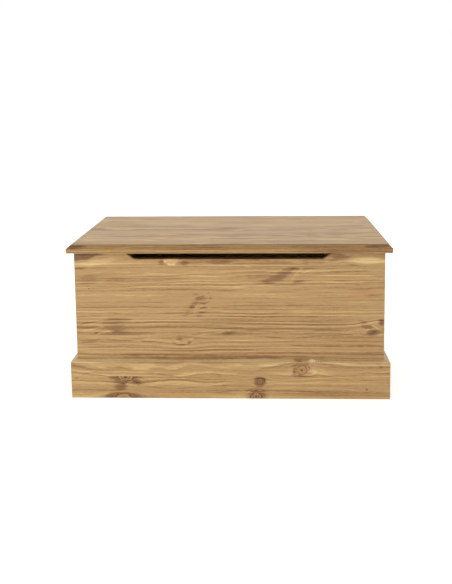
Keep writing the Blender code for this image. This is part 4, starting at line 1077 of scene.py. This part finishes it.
# Metals: the scale of brushing along either axis, and how brushing and tarnish change the gloss
BRUSHED_ALONG_X = (60.0, 2600.0, 2600.0)
BRUSHED_ALONG_Z = (2600.0, 2600.0, 60.0)
BRUSHED_ROUGHNESS = 0.25
BRUSHED_RELIEF = 0.03 * MM
BRUSHED_RELIEF_SHARE = 0.25
TARNISH_SCALE = (160.0, 160.0, 160.0)
TARNISH_EDGE = (0.42, 0.72)
TARNISHED_ROUGHNESS = 0.14


def metal(name, bright, dull, roughness, brushing):
    """A plated or solid metal, brushed along one axis and a little tarnished."""
    material = bpy.data.materials.new(name)
    material.use_nodes = True
    tree = material.node_tree
    shader = tree.nodes["Principled BSDF"]
    place = add(tree, "TexCoord").outputs["Object"]
    brushed = noise(tree, place, brushing)
    tarnish = noise(tree, place, TARNISH_SCALE, detail=4.0, roughness=0.6)
    share = fade(tree, tarnish, *TARNISH_EDGE)
    tree.links.new(mix(tree, share, bright, dull), shader.inputs["Base Color"])
    rough = calc(tree, "SUBTRACT", brushed, 0.5)
    rough = calc(tree, "MULTIPLY_ADD", rough, BRUSHED_ROUGHNESS, roughness)
    rough = calc(tree, "MULTIPLY_ADD", share, TARNISHED_ROUGHNESS, rough, clamp=True)
    tree.links.new(rough, shader.inputs["Roughness"])
    bump = add(
        tree, "Bump", Height=brushed, Strength=BRUSHED_RELIEF_SHARE, Distance=BRUSHED_RELIEF
    ).outputs["Normal"]
    tree.links.new(bump, shader.inputs["Normal"])
    shader.inputs["Metallic"].default_value = 1.0
    return material


def finish_metal():
    hinge_brass = metal(
        "hinge_brass", bright=srgb(214, 176, 104), dull=srgb(158, 116, 62), roughness=0.30,
        brushing=BRUSHED_ALONG_X,
    )
    stay_brass = metal(
        "stay_brass", bright=srgb(216, 180, 110), dull=srgb(166, 124, 66), roughness=0.28,
        brushing=BRUSHED_ALONG_Z,
    )
    zinc = metal(
        "screw_zinc", bright=srgb(206, 204, 198), dull=srgb(150, 146, 138), roughness=0.34,
        brushing=BRUSHED_ALONG_X,
    )
    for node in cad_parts:
        if node.startswith("hinge_"):
            finish_node(node, hinge_brass)
        elif node.startswith("stay_"):
            finish_node(node, stay_brass)
    build_screws(zinc)
    build_hinge_pins(hinge_brass)


# Screws and hinge pins

# A screw is modelled hanging from the origin and then copied to its places. Its cross reaches and
# tapers by shares, and turns from one screw to the next. Its thread runs out by a share as well
SCREW_SIDES = 24
SCREW_RIM = 0.3 * MM
SCREW_CORE_RADIUS = 1.05 * MM
SCREW_THREAD_RADIUS = 1.5 * MM
SCREW_TIP_LENGTH = 2.5 * MM
SCREW_TIP_RADIUS = 0.12 * MM
THREAD_SIZE = 0.34 * MM
THREAD_PITCH = 1.25 * MM
THREAD_STEPS = 16
THREAD_RUN_OUT = 0.66
CROSS_REACH = 0.58
CROSS_WIDTH = 0.75 * MM
CROSS_DEPTH = 1.2 * MM
CROSS_TAPER = 0.38
CROSS_TURN = 0.83
SUNK_ROUNDING = 0.08 * MM
LONG_SUNK_ROUNDING = 0.10 * MM
ROUND_HEAD_RISE = 1.4 * MM
ROUND_HEAD_ROUNDING = 1.1 * MM
ROUNDING_STEPS = 5
PIN_SIDES = 32
PIN_DOME = 1.0 * MM
NEARLY_FLAT = 0.9
SMOOTH_ANGLE = math.radians(34)


def select_only(obj):
    bpy.ops.object.select_all(action="DESELECT")
    obj.select_set(True)
    bpy.context.view_layer.objects.active = obj


def pick_faces(obj, wanted):
    """In edit mode, selects the faces whose middle and normal pass a test."""
    bpy.ops.mesh.select_mode(type="FACE")
    bpy.ops.mesh.select_all(action="DESELECT")
    shape = bmesh.from_edit_mesh(obj.data)
    for face in shape.faces:
        face.select_set(wanted(face.calc_center_median(), face.normal))
    shape.select_flush_mode()
    bmesh.update_edit_mesh(obj.data)


def turn_outwards():
    """In edit mode, makes every face of a closed shape point outwards."""
    bpy.ops.mesh.select_all(action="SELECT")
    bpy.ops.mesh.normals_make_consistent(inside=False)


def draw_down(depth, share):
    """Extrudes the selected end of a turned piece down its axis, and narrows it there by a share."""
    bpy.ops.mesh.extrude_region_move(TRANSFORM_OT_translate={"value": (0.0, 0.0, -depth)})
    bpy.ops.transform.resize(value=(share, share, 1.0), center_override=(0.0, 0.0, 0.0))


def turn_screw(name, radius, steps, rounding):
    """Turns a screw's blank. Its steps, each a depth and a radius, lead from its rim to its tip."""
    bpy.ops.object.select_all(action="DESELECT")
    bpy.ops.mesh.primitive_circle_add(
        vertices=SCREW_SIDES, radius=radius, fill_type="NGON", location=(0.0, 0.0, 0.0)
    )
    screw = bpy.context.object
    screw.name = name
    bpy.ops.object.mode_set(mode="EDIT")
    bpy.ops.mesh.select_mode(type="FACE")
    bpy.ops.mesh.select_all(action="SELECT")
    for depth, narrow in steps:
        draw_down(depth, narrow / radius)
        radius = narrow
    turn_outwards()
    pick_faces(screw, lambda middle, normal: normal.z > NEARLY_FLAT)
    bpy.ops.mesh.region_to_loop()
    bpy.ops.mesh.bevel(
        offset=rounding, segments=ROUNDING_STEPS, affect="EDGES", clamp_overlap=True
    )
    bpy.ops.object.mode_set(mode="OBJECT")
    return screw


def cut_cross(screw, reach):
    """Cuts the cross for a driver into a screw's head, as two blades that narrow towards the bottom."""
    for turn in (0.0, math.pi / 2):
        bpy.ops.object.select_all(action="DESELECT")
        bpy.ops.mesh.primitive_cube_add(
            size=1.0, location=(0.0, 0.0, 0.0), rotation=(0.0, 0.0, turn),
            scale=(2 * reach, CROSS_WIDTH, 2 * CROSS_DEPTH),
        )
        blade = bpy.context.object
        bpy.ops.object.transform_apply(location=True, rotation=True, scale=True)
        bpy.ops.object.mode_set(mode="EDIT")
        pick_faces(blade, lambda middle, normal: normal.z < -NEARLY_FLAT)
        bpy.ops.transform.resize(
            value=(CROSS_TAPER, CROSS_TAPER, 1.0), center_override=(0.0, 0.0, 0.0)
        )
        bpy.ops.object.mode_set(mode="OBJECT")
        cut = screw.modifiers.new("cross", "BOOLEAN")
        cut.operation = "DIFFERENCE"
        cut.solver = "EXACT"
        cut.object = blade
        select_only(screw)
        bpy.ops.object.modifier_apply(modifier=cut.name)
        bpy.data.objects.remove(blade)


def wind_thread(screw, top, bottom):
    """Winds a thread round a screw's core from a lower height to an upper one, and joins it on."""
    bpy.ops.object.select_all(action="DESELECT")
    bpy.ops.mesh.primitive_circle_add(
        vertices=3, radius=THREAD_SIZE, location=(SCREW_THREAD_RADIUS - THREAD_SIZE, 0.0, bottom),
        rotation=(math.pi / 2, math.pi / 2, 0.0),
    )
    thread = bpy.context.object
    bpy.ops.object.transform_apply(location=True, rotation=True, scale=True)
    winding = thread.modifiers.new("winding", "SCREW")
    winding.steps = THREAD_STEPS
    winding.render_steps = THREAD_STEPS
    winding.screw_offset = THREAD_PITCH
    winding.iterations = int((top - bottom) / THREAD_PITCH)
    bpy.ops.object.modifier_apply(modifier=winding.name)
    bpy.ops.object.mode_set(mode="EDIT")
    bpy.ops.mesh.select_all(action="SELECT")
    bpy.ops.mesh.fill_holes(sides=3)
    turn_outwards()
    bpy.ops.mesh.select_all(action="DESELECT")
    bpy.ops.mesh.select_face_by_sides(number=3, type="EQUAL")
    bpy.ops.transform.resize(
        value=(THREAD_RUN_OUT, THREAD_RUN_OUT, 1.0), center_override=(0.0, 0.0, 0.0)
    )
    bpy.ops.object.mode_set(mode="OBJECT")
    screw.select_set(True)
    bpy.context.view_layer.objects.active = screw
    bpy.ops.object.join()


def model_screw(name, head, rounding, length, plain, material):
    """One screw. Head is its head's own steps, and plain is how far its shank runs without a thread."""
    radius = head[0][1]
    shoulder = SCREW_THREAD_RADIUS - SCREW_CORE_RADIUS
    neck = [(plain, SCREW_THREAD_RADIUS), (shoulder, SCREW_CORE_RADIUS)]
    above = sum(depth for depth, narrow in head + neck)
    core = length - above - SCREW_TIP_LENGTH
    steps = head + neck + [(core, SCREW_CORE_RADIUS), (SCREW_TIP_LENGTH, SCREW_TIP_RADIUS)]
    screw = turn_screw(name, radius, steps, rounding)
    cut_cross(screw, radius * CROSS_REACH)
    wind_thread(screw, -above - THREAD_SIZE, SCREW_TIP_LENGTH - length + THREAD_SIZE)
    screw.data.materials.clear()
    screw.data.materials.append(material)
    select_only(screw)
    bpy.ops.object.shade_smooth_by_angle(angle=SMOOTH_ANGLE)
    return screw


def place_screws(screw, nodes):
    """Puts a copy of a screw in the place of each node, its cross turned its own way."""
    for index, node in enumerate(nodes):
        low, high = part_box(node)
        head_up = "_body_" in node
        select_only(screw)
        bpy.ops.object.duplicate()
        copy = bpy.context.object
        copy.name = node + "_turned"
        middle = (low + high) / 2
        copy.location = (middle.x, middle.y, high.z if head_up else low.z)
        copy.rotation_euler = (0.0 if head_up else math.pi, 0.0, index * CROSS_TURN)
        bpy.ops.object.transform_apply(location=True, rotation=True, scale=True)
        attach(copy, "carcass" if head_up else "lid")
        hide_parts(node)
    bpy.data.objects.remove(screw)


def sunk_head(radius):
    """The steps of a countersunk head, from its rim down its cone to the shank."""
    return [(SCREW_RIM, radius), (radius - SCREW_THREAD_RADIUS, SCREW_THREAD_RADIUS)]


def round_head(radius):
    """The steps of a round head, from the foot of its rim straight in to the shank."""
    return [(ROUND_HEAD_RISE, radius), (0.0, SCREW_THREAD_RADIUS)]


# Each kind of screw: its head, how far the head's edge is rounded, and its plain shank's length
SCREW_KINDS = {
    "hinge": (sunk_head, SUNK_ROUNDING, 0.6 * MM),
    "lid_batten": (sunk_head, LONG_SUNK_ROUNDING, 9.0 * MM),
    "stay_bracket": (round_head, ROUND_HEAD_ROUNDING, 0.8 * MM),
}


def build_screws(material):
    nodes = sorted(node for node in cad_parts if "_screw_" in node)
    for kind, (head, rounding, plain) in SCREW_KINDS.items():
        same = [node for node in nodes if node.startswith(kind)]
        low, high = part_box(same[0])
        screw = model_screw(
            kind + "_screw", head((high.x - low.x) / 2), rounding, high.z - low.z, plain, material
        )
        place_screws(screw, same)


def build_hinge_pins(material):
    for side in ("left", "right"):
        node = f"hinge_{side}_pin"
        low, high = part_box(node)
        bpy.ops.object.select_all(action="DESELECT")
        bpy.ops.mesh.primitive_cylinder_add(
            vertices=PIN_SIDES, radius=(high.z - low.z) / 2, depth=high.x - low.x,
            location=(low + high) / 2, rotation=(0.0, math.pi / 2, 0.0),
        )
        pin = bpy.context.object
        pin.name = node + "_domed"
        bpy.ops.object.transform_apply(location=True, rotation=True, scale=True)
        bpy.ops.object.mode_set(mode="EDIT")
        pick_faces(pin, lambda middle, normal: abs(normal.x) > NEARLY_FLAT)
        bpy.ops.mesh.region_to_loop()
        bpy.ops.mesh.bevel(
            offset=PIN_DOME, segments=ROUNDING_STEPS, affect="EDGES", clamp_overlap=True
        )
        turn_outwards()
        bpy.ops.object.mode_set(mode="OBJECT")
        pin.data.materials.append(material)
        bpy.ops.object.shade_smooth_by_angle(angle=SMOOTH_ANGLE)
        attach(pin, "carcass")
        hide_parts(node)


# Studio

# The floor glows a little, and more so to the camera, which sees it white
FLOOR_RADIUS = 30.0
FLOOR_SIDES = 96
FLOOR_PAINT = (0.90, 0.90, 0.90, 1.0)
FLOOR_ROUGHNESS = 0.85
FLOOR_GLOW = 0.17
FLOOR_GLOW_SEEN = 0.18
WARM_WHITE = (1.0, 0.985, 0.965)

# Soft lights: their places, sizes and powers. All look at the trunk's middle
LIGHT_TARGET = Vector((0.0, 0.0, 0.2))
SOFT_LIGHTS = {
    "key_light": (Vector((-2.4, -2.6, 1.5)), (2.4, 1.8), 46.0),
    "fill_light": (Vector((2.4, -2.4, 1.2)), (1.8, 1.8), 5.0),
}


def set_camera():
    forward = Vector((
        math.sin(CAMERA_YAW) * math.cos(CAMERA_PITCH),
        math.cos(CAMERA_YAW) * math.cos(CAMERA_PITCH),
        -math.sin(CAMERA_PITCH),
    ))
    right = Vector((math.cos(CAMERA_YAW), -math.sin(CAMERA_YAW), 0.0))
    down = forward.cross(right)
    right_edge = right * math.cos(CAMERA_ROLL) + down * math.sin(CAMERA_ROLL)
    up_edge = right * math.sin(CAMERA_ROLL) - down * math.cos(CAMERA_ROLL)
    data = bpy.data.cameras.new("photo_camera")
    data.sensor_width = SENSOR_WIDTH
    data.lens = SENSOR_WIDTH * FOCAL_PIXELS / PICTURE_HEIGHT
    data.shift_x = (PICTURE_WIDTH / 2 - CENTRE_PIXEL[0]) / PICTURE_HEIGHT
    data.shift_y = (CENTRE_PIXEL[1] - PICTURE_HEIGHT / 2) / PICTURE_HEIGHT
    camera = bpy.data.objects.new("photo_camera", data)
    turn = Matrix((right_edge, up_edge, -forward)).transposed()
    camera.matrix_world = Matrix.Translation(EYE) @ turn.to_4x4()
    bpy.context.scene.collection.objects.link(camera)
    bpy.context.scene.camera = camera


def soft_light(name, place, size, power):
    data = bpy.data.lights.new(name, "AREA")
    data.shape = "RECTANGLE"
    data.size, data.size_y = size
    data.energy = power
    data.color = WARM_WHITE
    lamp = bpy.data.objects.new(name, data)
    lamp.location = place
    lamp.rotation_euler = (LIGHT_TARGET - place).to_track_quat("-Z", "Y").to_euler()
    bpy.context.scene.collection.objects.link(lamp)


def lay_floor():
    bpy.ops.object.select_all(action="DESELECT")
    bpy.ops.mesh.primitive_circle_add(
        vertices=FLOOR_SIDES, radius=FLOOR_RADIUS, fill_type="NGON", location=(0.0, 0.0, 0.0)
    )
    floor = bpy.context.object
    floor.name = "studio_floor"
    material = bpy.data.materials.new("studio_floor_paint")
    material.use_nodes = True
    tree = material.node_tree
    shader = tree.nodes["Principled BSDF"]
    shader.inputs["Base Color"].default_value = FLOOR_PAINT
    shader.inputs["Roughness"].default_value = FLOOR_ROUGHNESS
    shader.inputs["Emission Color"].default_value = WHITE
    seen = add(tree, "LightPath").outputs["Is Camera Ray"]
    glow = calc(tree, "MULTIPLY_ADD", seen, FLOOR_GLOW_SEEN, FLOOR_GLOW)
    tree.links.new(glow, shader.inputs["Emission Strength"])
    floor.data.materials.append(material)


def build_studio():
    lay_floor()
    world = bpy.data.worlds.new("studio")
    world.use_nodes = True
    background = world.node_tree.nodes["Background"]
    background.inputs["Color"].default_value = WHITE
    background.inputs["Strength"].default_value = 1.0
    bpy.context.scene.world = world
    for name, (place, size, power) in SOFT_LIGHTS.items():
        soft_light(name, place, size, power)
    settings = bpy.context.scene.view_settings
    settings.view_transform = "Standard"
    settings.look = "None"


finish_boards()
finish_inner_wood()
finish_metal()
set_camera()
build_studio()
